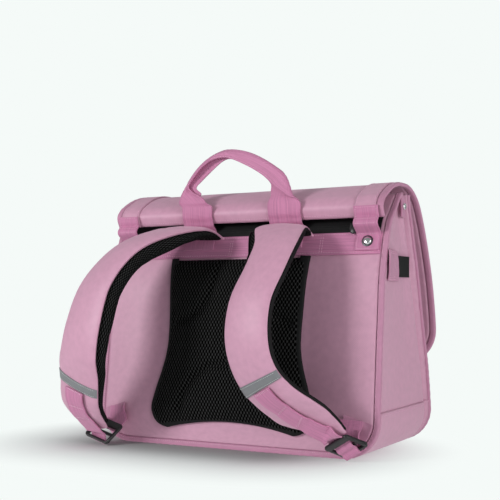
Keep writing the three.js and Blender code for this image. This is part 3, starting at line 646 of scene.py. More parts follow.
def gusset(word, side):
    flat = (165 * mm, 262 * mm)
    place = gussetPlace(side)
    piece = layCloth("side_cloth_" + word, 60, 110, place, flat, (side, 0, 0), gussetLook["thick"])
    dress(piece, pinkCloth, "pink_cloth", "gusset_" + word)


for word, side in sides:
    gusset(word, side)

guardLook = {"thick": 2.4, "hem": 0.5, "hemWide": 5, "wave": 0.8, "flatBelow": 8, "stitchDown": 3.2}


def guardPlace(u, v):
    x, z, nx, nz, _ = rimAt(v, bag["guard"])
    onSide = z > guardLook["flatBelow"]
    inset = gussetInset(z, u) + frontDip(z, u) * abs(nx) ** 2
    soft = guardLook["wave"] * crease(u * 2.3, v * 14, 21.0) * math.sin(math.pi * u) * (1 if onSide else 0.15)
    hem = guardLook["hem"] * ease(1 - (bag["guard"] - z) / guardLook["hemWide"]) if z > 40 else 0
    inset -= hem + max(soft, -0.4) * (0.8 if onSide else 0.1)
    return spot(x - nx * inset, gussetY(z, u), z - nz * max(inset, 0 if nz < -0.99 else -9))


guardFlat = (172 * mm, 440 * mm)
guard = layCloth("base_cloth", 56, 220, guardPlace, guardFlat, (0, 0, -1), guardLook["thick"])
dress(guard, pinkCloth, "pink_cloth", "base_panel")
hemShare = guardLook["stitchDown"] / rimAt(0, bag["guard"])[4]
rows = [seam(guardPlace, (0.03, share), (0.97, share), (way, 0, 0))
        for share, way in ((hemShare, 1), (1 - hemShare, -1))]
sew("base_stitches", rows, pinkThread, "pink_cloth")
print("sides and base sewn")

# The flap's side view from its back edge over the top: share of the reach, drop and flare
flapProfile = [
    (0.146, 0.201, 0), (0.133, 0.176, 0), (0.123, 0.1429, 0), (0.152, 0.0986, 0), (0.212, 0.0614, 0),
    (0.276, 0.0314, 0), (0.369, 0.0057, 0), (0.452, 0, 0), (0.525, 0.0043, 0.1), (0.599, 0.0357, 0.25),
    (0.654, 0.09, 0.45), (0.714, 0.2071, 0.65), (0.774, 0.3557, 0.8), (0.834, 0.54, 0.9), (0.87, 0.7429, 1),
    (0.876, 0.8429, 1), (0.866, 1, 1),
]
flap = {"half": 186, "flare": 8, "reach": 217, "top": 317, "drop": 222, "thick": 2.6, "corner": 45,
        "crown": 2.2, "tape": 8, "tapeThick": 5, "band": 27, "bandThick": 1.2, "bandSink": 0.4, "wave": 1.0,
        "pucker": 0.5, "frontFrom": 190, "frontBlend": 60}
flapRoute = Route([Vector((0, depth * flap["reach"], flap["top"] - drop * flap["drop"]))
                   for depth, drop, _ in flapProfile])
flapFlare = [(i / (len(flapProfile) - 1), row[2]) for i, row in enumerate(flapProfile)]


def flapPoint(x, length, lift):
    # a place on the flap, across it and down its length, lifted off its drawn face
    at, ahead, _ = flapRoute.at(length / flapRoute.length)
    return spot(x, at.y - ahead.z * lift, at.z + ahead.y * lift)


def flapHalf(length, inset):
    raw = flapRoute.at(length / flapRoute.length)[2]
    edge = flap["half"] + flap["flare"] * along(flapFlare, 1, raw)
    left = flapRoute.length - length
    if left >= flap["corner"]:
        return edge - inset
    reach = (flap["corner"] - inset) ** 2 - (flap["corner"] - left) ** 2
    return edge - flap["corner"] + math.sqrt(max(reach, 0))


def flapLengthAt(v, inset):
    # even down the flap, then close together round its lower corners
    turnShare = 0.86
    straight = flapRoute.length - flap["corner"]
    if v < turnShare:
        return straight * v / turnShare
    return straight + (flap["corner"] - inset) * math.sin(math.pi / 2 * (v - turnShare) / (1 - turnShare))


def flapLift(x, length, away):
    front = ease((length - flap["frontFrom"]) / flap["frontBlend"])
    folds = flap["pucker"] * (edgePucker(away, length, 31.0) + edgePucker(length, x, 32.0, 7, 0.11) * 0.8)
    soft = flap["wave"] * crease(x * 0.013, length * 0.016, 33.0) * ease(away / 40)
    crown = flap["crown"] * (1 - (x / flap["half"]) ** 2) * front
    return folds + soft * (0.5 + front) + crown - 0.3


def flapPlace(u, v):
    inset = flap["tape"] + bag["seat"]
    length = flapLengthAt(v, inset)
    x = (2 * u - 1) * flapHalf(length, inset)
    away = min((1 - abs(2 * u - 1)) * flap["half"], flapRoute.length - length)
    return flapPoint(x, length, flapLift(x, length, away))


flapFlat = (375 * mm, flapRoute.length * mm)
flapCloth = layCloth("flap_cloth", 120, 150, flapPlace, flapFlat, (0, 0.5, 1), flap["thick"])
dress(flapCloth, pinkCloth, "pink_cloth", "flap")


def flapEdgeAt(share, inset):
    # round the flap's edge from the right back corner to the left one: across, length down it, whole run
    straight = flapRoute.length - flap["corner"]
    radius = flap["corner"] - inset
    arc = math.pi / 2 * radius
    middle = flapHalf(straight, 0) - flap["corner"]
    total = 2 * (straight + arc) + 2 * middle
    run, mirror = mirrored(share, total)
    if run < straight:
        return mirror * flapHalf(run, inset), run, total
    turn = (run - straight) / radius
    if turn < math.pi / 2:
        return mirror * (middle + radius * math.cos(turn)), straight + radius * math.sin(turn), total
    return mirror * (middle - (run - straight - arc)), flapRoute.length - inset, total


def flapTapePlace(u, v):
    outer = flapEdgeAt(v, 0.0)
    inner = flapEdgeAt(v, flap["tape"])
    c, s = squared(u, 0.6, 0.75)
    run = v * outer[2]
    across = (1 - c) / 2
    sink = (flap["tapeThick"] + flap["thick"]) / 2
    high = flap["tapeThick"] * (0.5 + 0.5 * s * drawnIn(run, 10, 6.4))
    lift = high - sink + 0.2 * crease(run * 0.1, 0, 3.2)
    return flapPoint(mix(outer[0], inner[0], across), mix(outer[1], inner[1], across), lift)


flapTape = wrapTape("flap_edge_tape", 18, 420, flapTapePlace, (24 * mm, 900 * mm))
dress(flapTape, pinkTrim, "pink_tape", "flap_binding")
# Stretches of the flap bands, as shares of their length, and the way each faces
bandFacings = ((0.0, 0.12, (0, -1, 0.3)), (0.12, 0.42, (0, 0.3, 1)), (0.42, 1, (0, 1, 0.4)))


def flapBandPlace(side):
    def place(u, v):
        length = (flapRoute.length - flap["corner"]) * v
        outer = flapHalf(length, flap["tape"] + bag["seat"])
        x = side * (outer - flap["band"] * u)
        away = (1 - abs(x) / flap["half"]) * flap["half"]
        roll = 0.5 * (1 - (2 * u - 1) ** 6)
        lift = max(flapLift(x, length, away), -0.2) * 0.9
        wrinkle = max(0.35 * crease(length * 0.09, u * 1.5, 35.0 + side), -0.2)
        seat = bag["seat"] + flap["bandThick"] - flap["bandSink"]
        return flapPoint(x, length, seat + lift + roll + wrinkle)
    return place


def flapBand(word, side):
    place = flapBandPlace(side)
    flat = (flap["band"] * mm, (flapRoute.length - flap["corner"]) * mm)
    piece = layCloth("flap_band_cloth_" + word, 10, 170, place, flat, (0, 0.5, 1), flap["bandThick"])
    dress(piece, pinkCloth, "pink_cloth", "flap_band_" + word)
    lines = [seam(place, (across, start), (across, end), facing, 80)
             for across in (0.09, 0.91) for start, end, facing in bandFacings]
    sew("flap_band_stitches_" + word, lines, pinkThread, "pink_cloth", 0.9)


for word, side in sides:
    flapBand(word, side)
backRow = seam(flapPlace, (0.02, 0.011), (0.98, 0.011), (0, -1, -0.3), 200, 0.2)
frontRow = seam(flapPlace, (0.13, 0.985), (0.87, 0.985), (0, 1, 0), 200, 0.2)
sew("flap_stitches", [backRow, frontRow], pinkThread, "pink_cloth")
print("flap sewn")

yoke = {"low": 230, "top": 256, "thick": 1.6, "side": 7.6, "hem": 0.09, "zip": 12.5, "zipUnder": 5,
        "zipThick": 1.2, "zipHalf": 179}
slopeTurn = math.atan2(backY(246) - backY(240), 6)
strapWards = (0, -1, 0)


def stripPlace(low, height, halfAcross, lift, seed, wave=0.25):
    def place(u, v):
        z = low + height * v
        x = (2 * u - 1) * halfAcross
        soft = wave * crease(x * 0.03, z * 0.05, seed)
        return spot(x, backY(z) - lift - max(soft, -0.1), z)
    return place


def sideways(place):
    # the same face with across and along exchanged, for webbing that runs across the bag
    return lambda u, v: place(v, u)


yokeHalf = half - yoke["side"]
yokePlace = stripPlace(yoke["low"], yoke["top"] - yoke["low"], yokeHalf, bag["seat"] + yoke["thick"], 41)
yokePiece = layCloth("yoke_webbing_strip", 14, 140, sideways(yokePlace), (26.5 * mm, 365 * mm), strapWards,
                     yoke["thick"], 0.4)
dress(yokePiece, pinkWebbing, "pink_tape", "yoke_webbing")
rows = [seam(yokePlace, (0.02, up), (0.98, up), strapWards, 120, 0.2)
        for up in (yoke["hem"], 1 - yoke["hem"])]
for x in (-106, -16, 16, 106):
    across = (x / yokeHalf + 1) / 2
    for nudge in (0, 0.008):
        low, high = (across + nudge, yoke["hem"]), (across + nudge, 1 - yoke["hem"])
        rows.append(seam(yokePlace, low, high, strapWards, 10, 0.2))
sew("yoke_stitches", rows, pinkThread, "pink_tape")

zipPlace = stripPlace(yoke["top"] + bag["seat"], yoke["zip"] + yoke["zipUnder"], yoke["zipHalf"],
                      bag["seat"] + yoke["zipThick"], 43, 0.1)
zipFlat = (yoke["zip"] * mm, 2 * yoke["zipHalf"] * mm)
zipStrip = layCloth("zip_strip", 10, 120, sideways(zipPlace), zipFlat, strapWards, yoke["zipThick"], 0.3)
dress(zipStrip, blackTape, "black_tape", "zip_tape")
coil = [seam(zipPlace, (0.005, across), (0.995, across), strapWards, 100, 0.25) for across in (0.3, 0.44)]
sew("zip_coil", coil, blackThread, "black_tape", 0.62)
print("yoke and zip sewn")

pad = {"half": 110, "low": 22, "top": 229, "thick": 12, "edge": 3, "rim": 2.2, "arch": 11, "columns": 46,
       "cap": 5, "groove": 7.0, "grooveWide": 3.4, "grooveFrom": 4, "back": 0.6, "lip": 1.4,
       "rowPower": 1.15, "endShare": 2.6, "shoulder": 0.24}
# The pad's width at shares of its height, the lower ones closer together
padOutline = [(0, 0.78), (0.008, 0.85), (0.025, 0.915), (0.055, 0.965), (0.11, 1), (0.21, 0.96), (0.38, 0.862),
              (0.51, 0.825), (0.75, 0.842), (1, 0.875)]
# Pressed lines on the pad's left half: across and up, in millimetres; the right half mirrors them
padLines = [
    [(-22, 226), (-27, 192), (-31, 181), (-41, 168), (-54, 158), (-78, 150)],
    [(0, 102), (-24, 99), (-44, 87), (-57, 71), (-64, 54), (-66, 45)],
]


def padSpot(u, v):
    # across, up, and how far inside the pad's rim a place is, from 0 to 1
    rise = v ** pad["rowPower"]
    side = 2 * u - 1
    x = side * pad["half"] * along(padOutline, 1, rise)
    z = mix(pad["low"], pad["top"], rise) + pad["arch"] * (1 - side ** 2) * (1 - rise) ** 3
    ends = min(rise, 1 - rise) * pad["endShare"]
    inside = clamp(min(1 - abs(side), ends) / pad["shoulder"])
    return x, z, math.sin(math.pi / 2 * inside)


def padFace(lip, rise):
    # one face of the pad, from its rim over a lip to its middle
    def place(u, v):
        x, z, inside = padSpot(u, v)
        return spot(x, backY(z) - bag["seat"] - (lip + rise * inside if inside > 0 else pad["rim"]), z)
    return place


def toLine(x, z, line):
    # how far a place is from a pressed line
    best = 1e9
    for (ax, az), (bx, bz) in zip(line, line[1:]):
        dx, dz = bx - ax, bz - az
        t = clamp(((x - ax) * dx + (z - az) * dz) / (dx * dx + dz * dz))
        best = min(best, math.hypot(x - ax - dx * t, z - az - dz * t))
    return best


def puff(piece, cap, held, pressure=4.0, frames=20):
    # swells a closed pad like a stuffed one; held says which points a seam keeps, and cap is millimetres
    scene = bpy.context.scene
    points = [vert.co.copy() for vert in piece.data.vertices]
    layer = piece.data.uv_layers["cloth"].data
    flat = {loop.vertex_index: layer[loop.index].uv.copy() for loop in piece.data.loops}
    group = piece.vertex_groups.new(name="seam")
    group.add([i for i, at in enumerate(points) if held(at, flat[i])], 1.0, "REPLACE")
    cloth = piece.modifiers.new("puff", "CLOTH")
    cloth.settings.use_pressure = True
    cloth.settings.uniform_pressure_force = pressure
    cloth.settings.effector_weights.gravity = 0
    cloth.settings.vertex_group_mass = "seam"
    cloth.settings.quality = 6
    cloth.point_cache.frame_start = 1
    cloth.point_cache.frame_end = frames
    for k in range(1, frames + 1):
        scene.frame_set(k)
    swollen = piece.evaluated_get(bpy.context.evaluated_depsgraph_get()).to_mesh()
    moved = [vert.co.copy() for vert in swollen.vertices]
    piece.evaluated_get(bpy.context.evaluated_depsgraph_get()).to_mesh_clear()
    piece.modifiers.remove(cloth)
    piece.vertex_groups.remove(group)
    for vert, start, end in zip(piece.data.vertices, points, moved):
        way = end - start
        if way.length > cap * mm:
            way = way.normalized() * cap * mm
        vert.co = start + way
    scene.frame_set(1)


def smooth(piece):
    finer = piece.modifiers.new("smooth", "SUBSURF")
    finer.levels = 1
    finer.render_levels = 1
    return piece


def pressLines(piece):
    # sinks the pressed lines into the pad's face
    for vert in piece.data.vertices:
        x, z = vert.co.x * 1000, vert.co.z * 1000
        proud = backY(z) - (vert.co.y * 1000 + bag["depth"] / 2)
        if proud > 3:
            away = min(toLine(-abs(x), z, line) for line in padLines)
            press = pad["groove"] * math.exp(-(away / pad["grooveWide"]) ** 2)
            vert.co.y += press * mm * ease((proud - pad["grooveFrom"]) / 6)


def backPad():
    flat = (2 * pad["half"] * mm, (pad["top"] - pad["low"]) * mm)
    front = padFace(pad["edge"] + pad["lip"], pad["thick"] - 2 - pad["edge"])
    bm = gridOf(pad["columns"], pad["columns"], front, flat)
    behind = gridOf(pad["columns"], pad["columns"], padFace(pad["back"], 0), flat)
    mesh = bpy.data.meshes.new("pad_back")
    behind.to_mesh(mesh)
    behind.free()
    bm.from_mesh(mesh)
    bpy.data.meshes.remove(mesh)
    closeUp(bm, 2e-5)
    uvs = bm.loops.layers.uv.verify()
    for face in bm.faces:
        for loop in face.loops:
            loop[uvs].uv = (loop.vert.co.x, loop.vert.co.z)
    cushion = finishMesh("pad_cushion", bm)
    puff(cushion, pad["cap"], lambda at, flat: at.y * 1000 + bag["depth"] / 2 > backY(at.z * 1000) - 3)
    pressLines(cushion)
    dress(smooth(cushion), airMesh, "black_mesh", "back_pad")


backPad()
padEdge = {"wide": 12, "out": 0.5, "deep": 2.6, "round": 1.9, "climb": 3.4}
padRim = Route([Vector((x, 0, z)) for x, z, _ in (
    [padSpot(1, 1 - k / 40) for k in range(40)] + [padSpot(1 - k / 30, 0) for k in range(31)]
    + [padSpot(0, k / 40) for k in range(1, 41)])], 2)


def padBorderPlace(u, v):
    # the smooth border round the pad, from its top right down, along the bottom and up to its top left
    rim = padRim.at(v)[0]
    run = padRim.at(v + 0.02)[0] - padRim.at(v - 0.02)[0]
    inward = Vector((run.z, 0, -run.x)).normalized()
    c, s = squared(u, 0.5, 0.8)
    off = padEdge["wide"] * (1 - c) / 2 - padEdge["out"]
    deep = padEdge["deep"] + padEdge["round"] * s + off / padEdge["wide"] * padEdge["climb"]
    at = rim + inward * off
    return spot(at.x, backY(at.z) - bag["seat"] - deep, at.z)


padBorder = wrapTape("pad_border", 16, 300, padBorderPlace, (24 * mm, 640 * mm))
dress(padBorder, blackCloth, "black_mesh", "back_pad")
print("back pad puffed")

strap = {"wide": 70, "bow": 5, "cover": 2.4, "neckDeep": 18, "outerDeep": 5, "reach": 135, "ease": 1.2,
         "stripeWide": 12, "stripeSkew": 13, "stripeThick": 0.9, "webbing": 25, "webbingSeat": 0.9,
         "webbingLift": 2.1, "puffs": 0.8, "cap": 2.5, "roll": 2.0, "around": 0.17,
         "foam": (0.012, 0.985), "tapes": (0.02, 0.995)}
# Heights of the cover's folds: crests near its top end, others towards its lower end and soft ones all along
strapFolds = {"crest": 0.9, "crestAt": 0.1, "crestReach": 0.07, "lower": 0.9, "lowerFrom": 0.72, "soft": 0.6}
# What differs between the straps: the side of the neck, how far the foam wraps there, the shares of the length
# at which the stripe lies and the webbing starts, and how much wider and how far aside the webbing starts
strapOwn = {
    "left": {"neck": 1, "wrap": 7, "stripe": 0.803, "webbing": 0.822, "flare": 6, "shift": -1.0},
    "right": {"neck": -1, "wrap": 11, "stripe": 0.71, "webbing": 0.732, "flare": 3, "shift": 0},
}
edgeTapes = {
    "neck": {"toNeck": 1.0, "tall": 15, "thick": 1.0, "columns": 14, "flat": 0.02},
    "outer": {"toNeck": 0.0, "tall": 5.2, "thick": 1.1, "columns": 12, "flat": 0.014},
}
# Each strap's middle line from the top down: across, out and up as shares of the half width, the reach and the
# top of the back webbing, its turn in degrees, and its width and fullness as shares
strapPaths = {
    "left": [
        (-0.321, 0.03, 0.99, 0, 1.08, 0.12), (-0.33, 0.163, 1.024, 8, 1.03, 0.55),
        (-0.45, 0.37, 1.0, 20, 0.98, 1), (-0.605, 0.585, 0.918, 24, 0.97, 1),
        (-0.718, 0.755, 0.757, 21, 0.98, 1), (-0.75, 0.835, 0.584, 18, 1, 1),
        (-0.785, 0.808, 0.439, 17, 1, 0.85), (-0.825, 0.696, 0.321, 15, 1, 0.6),
        (-0.86, 0.573, 0.196, 13, 0.92, 0.4), (-0.845, 0.331, 0.09, 8, 0.5, 0.25)],
    "right": [
        (0.325, 0.03, 0.99, 0, 1.04, 0.12), (0.35, 0.163, 1.022, -2, 0.92, 0.55),
        (0.405, 0.366, 0.962, 2, 0.8, 1), (0.4, 0.539, 0.843, 8, 0.8, 1),
        (0.353, 0.662, 0.689, 12, 0.85, 1), (0.35, 0.695, 0.546, 12, 0.88, 1),
        (0.373, 0.638, 0.422, 12, 0.92, 0.9), (0.437, 0.511, 0.31, 10, 1.02, 0.75),
        (0.605, 0.353, 0.2, 8, 1.12, 0.6), (0.79, 0.248, 0.129, 2, 0.48, 0.3)],
}
strapSeat = bag["seat"] * 2 + yoke["thick"]
rootY = backY(yoke["top"]) - strapSeat - yoke["thick"] - bag["seat"]
strapRoutes, strapRows = {}, {}
for word, table in strapPaths.items():
    last = len(table) - 1
    strapRoutes[word] = Route([
        Vector((across * half, mix(rootY, 0, i / last) - out * strap["reach"], rise * yoke["top"]))
        for i, (across, out, rise, *_) in enumerate(table)])
    strapRows[word] = [(i / last, *row[3:]) for i, row in enumerate(table)]


def strapFrame(word, share):
    at, ahead, raw = strapRoutes[word].at(share)
    table = strapRows[word]
    turn = math.radians(along(table, 1, raw))
    full = along(table, 3, raw)
    side = Vector((math.cos(turn), -math.sin(turn), 0))
    side = (side - ahead * side.dot(ahead) * full).normalized()
    up = ahead.cross(side).normalized()
    return at, side, up, full, strap["wide"] * along(table, 2, raw)


def strapPoint(place, across, lift):
    at, side, up, full, wide = place
    bow = strap["bow"] * full * (1 - (2 * across) ** 2)
    return spot(*(at + side * wide * across + up * (bow + lift)))


def strapFace(word, across, share):
    # lift of the cover's outer face, with what shows of the foam and the folds under it
    neck = strapOwn[word]["neck"]
    edge = abs(2 * across)
    roll = strap["roll"] * edge ** 9
    crest = strapFolds["crest"] * crease(share * 46, across * 2.0, 51 + neck)
    lower = strapFolds["lower"] * crease(share * 34, across * 2.4, 53 + neck)
    soft = strapFolds["soft"] * crease(share * 9, across * 1.6, 55 + neck)
    folds = crest * bump(share, strapFolds["crestAt"], strapFolds["crestReach"])
    return strap["cover"] - roll + folds + lower * ease((share - strapFolds["lowerFrom"]) / 0.2) + soft


def strapCoverPlace(word):
    def place(u, v):
        return strapPoint(strapFrame(word, v), u - 0.5, strapFace(word, u - 0.5, v))
    return place


def foamEdge(word, frameAt, share, toNeck):
    # how far the foam wraps past the cover, and how deep it is, from its outer edge to the neck
    full, wide = frameAt[3], frameAt[4]
    own = strapOwn[word]
    wrap = own["neck"] * own["wrap"] * min(full, ease(share / 0.07)) * toNeck ** 8 / wide
    deep = mix(strap["outerDeep"], strap["neckDeep"], math.sin(math.pi / 2 * toNeck)) * full
    return wrap, deep


def strapPadPlace(word):
    neck = strapOwn[word]["neck"]

    def place(u, v):
        share = mix(*strap["foam"], v)
        frameAt = strapFrame(word, share)
        c, s = squared(u, 0.62, 0.7)
        toNeck = 0.5 + 0.5 * c
        wrap, deep = foamEdge(word, frameAt, share, toNeck)
        top = -0.9 - strap["ease"] * (1 - frameAt[3]) * (1 - v)
        return strapPoint(frameAt, neck * (toNeck - 0.5) + wrap, top - deep * (1 - s) / 2 + 0.4 * s)
    return place


def edgeTubePlace(word, toNeck, tall, thick):
    neck = strapOwn[word]["neck"]

    def place(u, v):
        share = mix(*strap["tapes"], v)
        frameAt = strapFrame(word, share)
        c, s = squared(u, 0.7, 0.7)
        wrap, deep = foamEdge(word, frameAt, share, toNeck)
        high = min(tall, deep * 0.75 + 1.2)
        closed = ease(v / 0.02) * ease((1 - v) / 0.012) * 0.9 + 0.1
        across = neck * (toNeck - 0.5) + wrap + neck * (bag["seat"] + thick * c * closed) / frameAt[4]
        return strapPoint(frameAt, across, -1.2 - deep + high / 2 * (1 + s * closed))
    return place


def edgeTape(word, which):
    look = edgeTapes[which]
    flat = (look["flat"], strapRoutes[word].length * mm)
    place = edgeTubePlace(word, look["toNeck"], look["tall"], look["thick"])
    tape = wrapTape("strap_" + which + "_tape_" + word, look["columns"], 220, place, flat)
    dress(tape, blackCloth, "black_mesh", "strap_pad_" + word)


buckleHang = {
    "left": {"across": -0.84, "out": 0.241, "rise": 0.064, "turn": -5, "lean": -42, "roll": 19, "wide": 1},
    "right": {"across": 0.84, "out": 0.161, "rise": 0.068, "turn": -21, "lean": 37, "roll": 51, "wide": -1},
}
ladder = {"wide": 40, "long": 32, "thick": 4, "rail": 4.2, "bar": 3.6, "wideBar": 8.5, "round": 1.1,
          "corner": 4.0, "arch": 0.9, "sink": 0.5}
# Each webbing's way through its buckle: shares of the buckle's length, and of the room a webbing takes there
wayIn = {
    "left": [(-0.25, -1.5), (-0.27, -0.26), (-0.325, 0.77), (-0.39, 1.12), (-0.455, 1.14)],
    "right": [(-0.47, -1.45), (-0.26, -1.1), (-0.19, -0.85), (-0.006, 0.68), (0.14, 0.75), (0.27, 1.55),
              (0.36, 1.7)],
}
wayOut = {
    "left": [(0.69, 1.18), (0.485, 1.03), (0.3, 1.03), (0.2, 0.8), (0.13, 0.25)],
    "right": [(0.25, -2.3), (0.41, -1.3), (0.52, -1), (0.57, -0.3), (0.575, 0.3)],
}


def buckleFrame(word):
    hang = buckleHang[word]
    at = Vector((hang["across"] * half, -hang["out"] * strap["reach"], hang["rise"] * yoke["top"]))
    yaw, tilt, spin = (math.radians(hang[key]) for key in ("turn", "lean", "roll"))
    flat = Vector((math.cos(yaw), -math.sin(yaw), 0))
    outwards = Vector((-math.sin(yaw), -math.cos(yaw), 0))
    down = outwards * -math.cos(tilt) + Vector((0, 0, -math.sin(tilt)))
    up = down.cross(flat)
    turned = Matrix.Rotation(spin, 3, up)
    return at, turned @ flat, turned @ down, up


def ribbonPlace(line, thick):
    # a ribbon's outer face along (place, across, width) rows
    route = Route([row[0] for row in line])
    last = len(line) - 1

    def place(u, v):
        at, ahead, raw = route.at(v)
        i = min(int(raw * last), last - 1)
        t = raw * last - i
        across = line[i][1].lerp(line[i + 1][1], t)
        wide = mix(line[i][2], line[i + 1][2], t)
        side = (across - ahead * across.dot(ahead)).normalized()
        return spot(*(at + side * wide * (u - 0.5) + side.cross(ahead) * thick))
    return place, route


def webbing(name, solid, line, facing, rows=60):
    place, route = ribbonPlace(line, yoke["thick"])
    piece = layCloth(name, 10, rows, place, (line[0][2] * mm, route.length * mm), facing, yoke["thick"], 0.35)
    piece.modifiers["thickness"].use_even_offset = False
    dress(piece, pinkWebbing, "pink_tape", solid)
    return place, route


def roundOff(bm, edges, offset, segments):
    bmesh.ops.bevel(bm, geom=edges, offset=offset, affect="EDGES", segments=segments, profile=0.5, material=-1)


def sharpEdges(bm):
    return [edge for edge in bm.edges if len(edge.link_faces) == 2 and edge.calc_face_angle() > 0.5]


def buckle(word):
    # a frame of three by five cells with two of them open, made thick, rounded and arched
    at, side, ahead, up = buckleFrame(word)
    bar, rim, end, level = ladder["bar"], ladder["wide"] / 2, ladder["long"] / 2, ladder["thick"] / 2
    gap = (ladder["long"] - 2 * bar - ladder["wideBar"]) / 2
    edges = [0, bar, bar + gap, 2 * bar + gap, 2 * (bar + gap), ladder["long"]]
    across = [-rim, ladder["rail"] - rim, rim - ladder["rail"], rim]
    bm = bmesh.new()
    bmesh.ops.create_grid(bm, x_segments=3, y_segments=5, size=0.5)
    middles = [(face, face.calc_center_median()) for face in bm.faces]
    openings = [face for face, middle in middles
                if abs(middle.x) < 0.1 and round((middle.y + 0.5) * 5 - 0.5) in (1, 3)]
    bmesh.ops.delete(bm, geom=openings, context="FACES")
    for vert in bm.verts:
        x = across[round((vert.co.x + 0.5) * 3)]
        y = buckleHang[word]["wide"] * (edges[round((vert.co.y + 0.5) * 5)] - end)
        vert.co = Vector((x, y, -level))
    raised = bmesh.ops.extrude_face_region(bm, geom=bm.faces[:])
    for item in raised["geom"]:
        if isinstance(item, bmesh.types.BMVert):
            item.co.z = level
    bmesh.ops.recalc_face_normals(bm, faces=bm.faces[:])
    corners = [edge for edge in sharpEdges(bm) if max(abs(vert.co.x) for vert in edge.verts) > rim - 1
               and abs(edge.verts[0].co.z - edge.verts[1].co.z) > ladder["thick"] - 1
               and min(abs(vert.co.y) for vert in edge.verts) > end - 1]
    roundOff(bm, corners, ladder["corner"], 5)
    roundOff(bm, sharpEdges(bm), ladder["round"], 3)
    for vert in bm.verts:
        arch = ladder["arch"] * (1 - (vert.co.x / rim) ** 2)
        lift = vert.co.z + arch - ladder["sink"]
        vert.co = spot(*(at + side * vert.co.x + ahead * vert.co.y + up * lift))
    bmesh.ops.recalc_face_normals(bm, faces=bm.faces[:])
    dress(finishMesh("ladder_" + word, bm), blackPlastic, "black_plastic", "buckle_" + word)


wing = {"long": 33, "high": 24, "low": 16, "rise": 10, "stand": 6, "thick": 2, "inset": 7.6, "fold": 0.9,
        "crumple": 0.7}


def wingPoint(side, u, v, lift):
    z = wing["low"] + wing["rise"] * u + wing["high"] * v
    x = outlineHalf(z, wing["inset"]) - wing["long"] * u
    return Vector((side * x, backY(z) - bag["seat"] - wing["stand"] * u ** 2 - lift, z))


def wingPlace(side):
    def place(u, v):
        wave = wing["fold"] * math.sin(v * 9 + u * 3) * u
        fold = wave + wing["crumple"] * crease(u * 4, v * 5, 61 + side)
        return spot(*wingPoint(side, u, v, wing["thick"] + max(fold, -0.3)))
    return place


def strapEnds(word, side):
    at, across, ahead, up = buckleFrame(word)
    room = ladder["thick"] / 2 + bag["seat"] + yoke["thick"]
    seat = strap["webbingSeat"]
    own = strapOwn[word]

    def through(way):
        return [(at + ahead * forward * ladder["long"] + up * lift * room, -across, strap["webbing"])
                for forward, lift in way]

    line = []
    steps = 12
    for i in range(steps + 1):
        t = i / steps
        place = strapFrame(word, mix(own["webbing"], 1, t))
        puffs = strap["puffs"] * abs(math.sin(math.pi * i / 4)) * (1 - t ** 3)
        lift = strap["cover"] + seat + puffs + strap["webbingLift"] * t ** 4
        where = strapPoint(place, own["shift"] * (1 - t) / place[4], lift) / mm
        wide = strap["webbing"] + own["flare"] * (1 - t)
        line.append((Vector((where.x, where.y + bag["depth"] / 2, where.z)), -place[1], wide))
    line += through(wayIn[word])
    facing = (0, -1, 0.2)
    place, route = webbing("strap_webbing_strip_" + word, "strap_webbing_" + word, line, facing, 150)
    bars = []
    for i in (0, 4, 7):
        share = route.run[i * 40] / route.length + (0.012 if i == 0 else 0)
        bars += [seam(place, (0.06, share + nudge), (0.94, share + nudge), facing, 20)
                 for nudge in (-0.006, 0.0, 0.006)]
    sew("strap_bars_" + word, bars, pinkThread, "pink_tape", 0.8)
    flat = (wing["long"] * mm, wing["high"] * mm)
    cloth = layCloth("wing_cloth_" + word, 16, 14, wingPlace(side), flat, strapWards, wing["thick"], 0.5)
    dress(cloth, pinkTrim, "pink_cloth", "anchor_wing_" + word)
    hold = (0.4, 1)
    centre = sum(hold) / 2
    seated = []
    for high, stand in ((0.9, seat), (0.66, seat), (0.42, seat + strap["webbingLift"])):
        outer, inner = (
            wingPoint(side, u, high - (u - centre) * wing["rise"] / wing["high"], wing["thick"] + stand)
            for u in hold)
        seated.append(((outer + inner) / 2, (inner - outer).normalized() * side, strap["webbing"]))
    webbing("anchor_webbing_strip_" + word, "anchor_webbing_" + word, seated + through(wayOut[word]), facing)
    buckle(word)


def buildStrap(word, side):
    length = strapRoutes[word].length
    neck = strapOwn[word]["neck"]
    flat = (strap["wide"] * mm, length * mm)
    place = strapCoverPlace(word)
    cover = layCloth("strap_cloth_" + word, 30, 200, place, flat, strapWards, strap["cover"], 0.6)
    dress(cover, pinkCloth, "pink_cloth", "strap_cover_" + word)
    around = strap["around"]
    cushion = wrapTape("strap_cushion_" + word, 36, 96, strapPadPlace(word), (around, length * mm))
    def held(at, flat):
        turn, share = flat.x / around, flat.y / (length * mm)
        return 0.03 < turn < 0.52 or not 0.02 < share < 0.98
    puff(cushion, strap["cap"], held)
    dress(smooth(cushion), airMesh, "black_mesh", "strap_pad_" + word)
    if word == "right":
        edgeTape(word, "neck")
    edgeTape(word, "outer")

    def stripePlace(u, v):
        down = neck * (u - 0.5) * strap["stripeSkew"] + (v - 0.5) * strap["stripeWide"]
        share = strapOwn[word]["stripe"] + down / length
        lift = strapFace(word, u - 0.5, share) + strap["stripeThick"]
        return strapPoint(strapFrame(word, share), u - 0.5, lift)

    wide = (strap["wide"] * mm, strap["stripeWide"] * mm)
    stripe = layCloth("stripe_" + word, 30, 6, stripePlace, wide, strapWards, strap["stripeThick"], 0.25)
    dress(stripe, greyTape, "grey_reflector", "reflector_" + word)
    rows = [seam(stripePlace, (0.02, v), (0.98, v), (0, -1, -0.3)) for v in (0.14, 0.86)]
    sew("stripe_stitches_" + word, rows, greyThread, "grey_reflector", 0.8)
    strapEnds(word, side)


for word, side in sides:
    buildStrap(word, side)
print("straps puffed and sewn")

handle = {"spacing": 122, "leg": 43, "top": 359, "low": 240, "stand": 4, "thick": 1.6, "gap": 2.2}
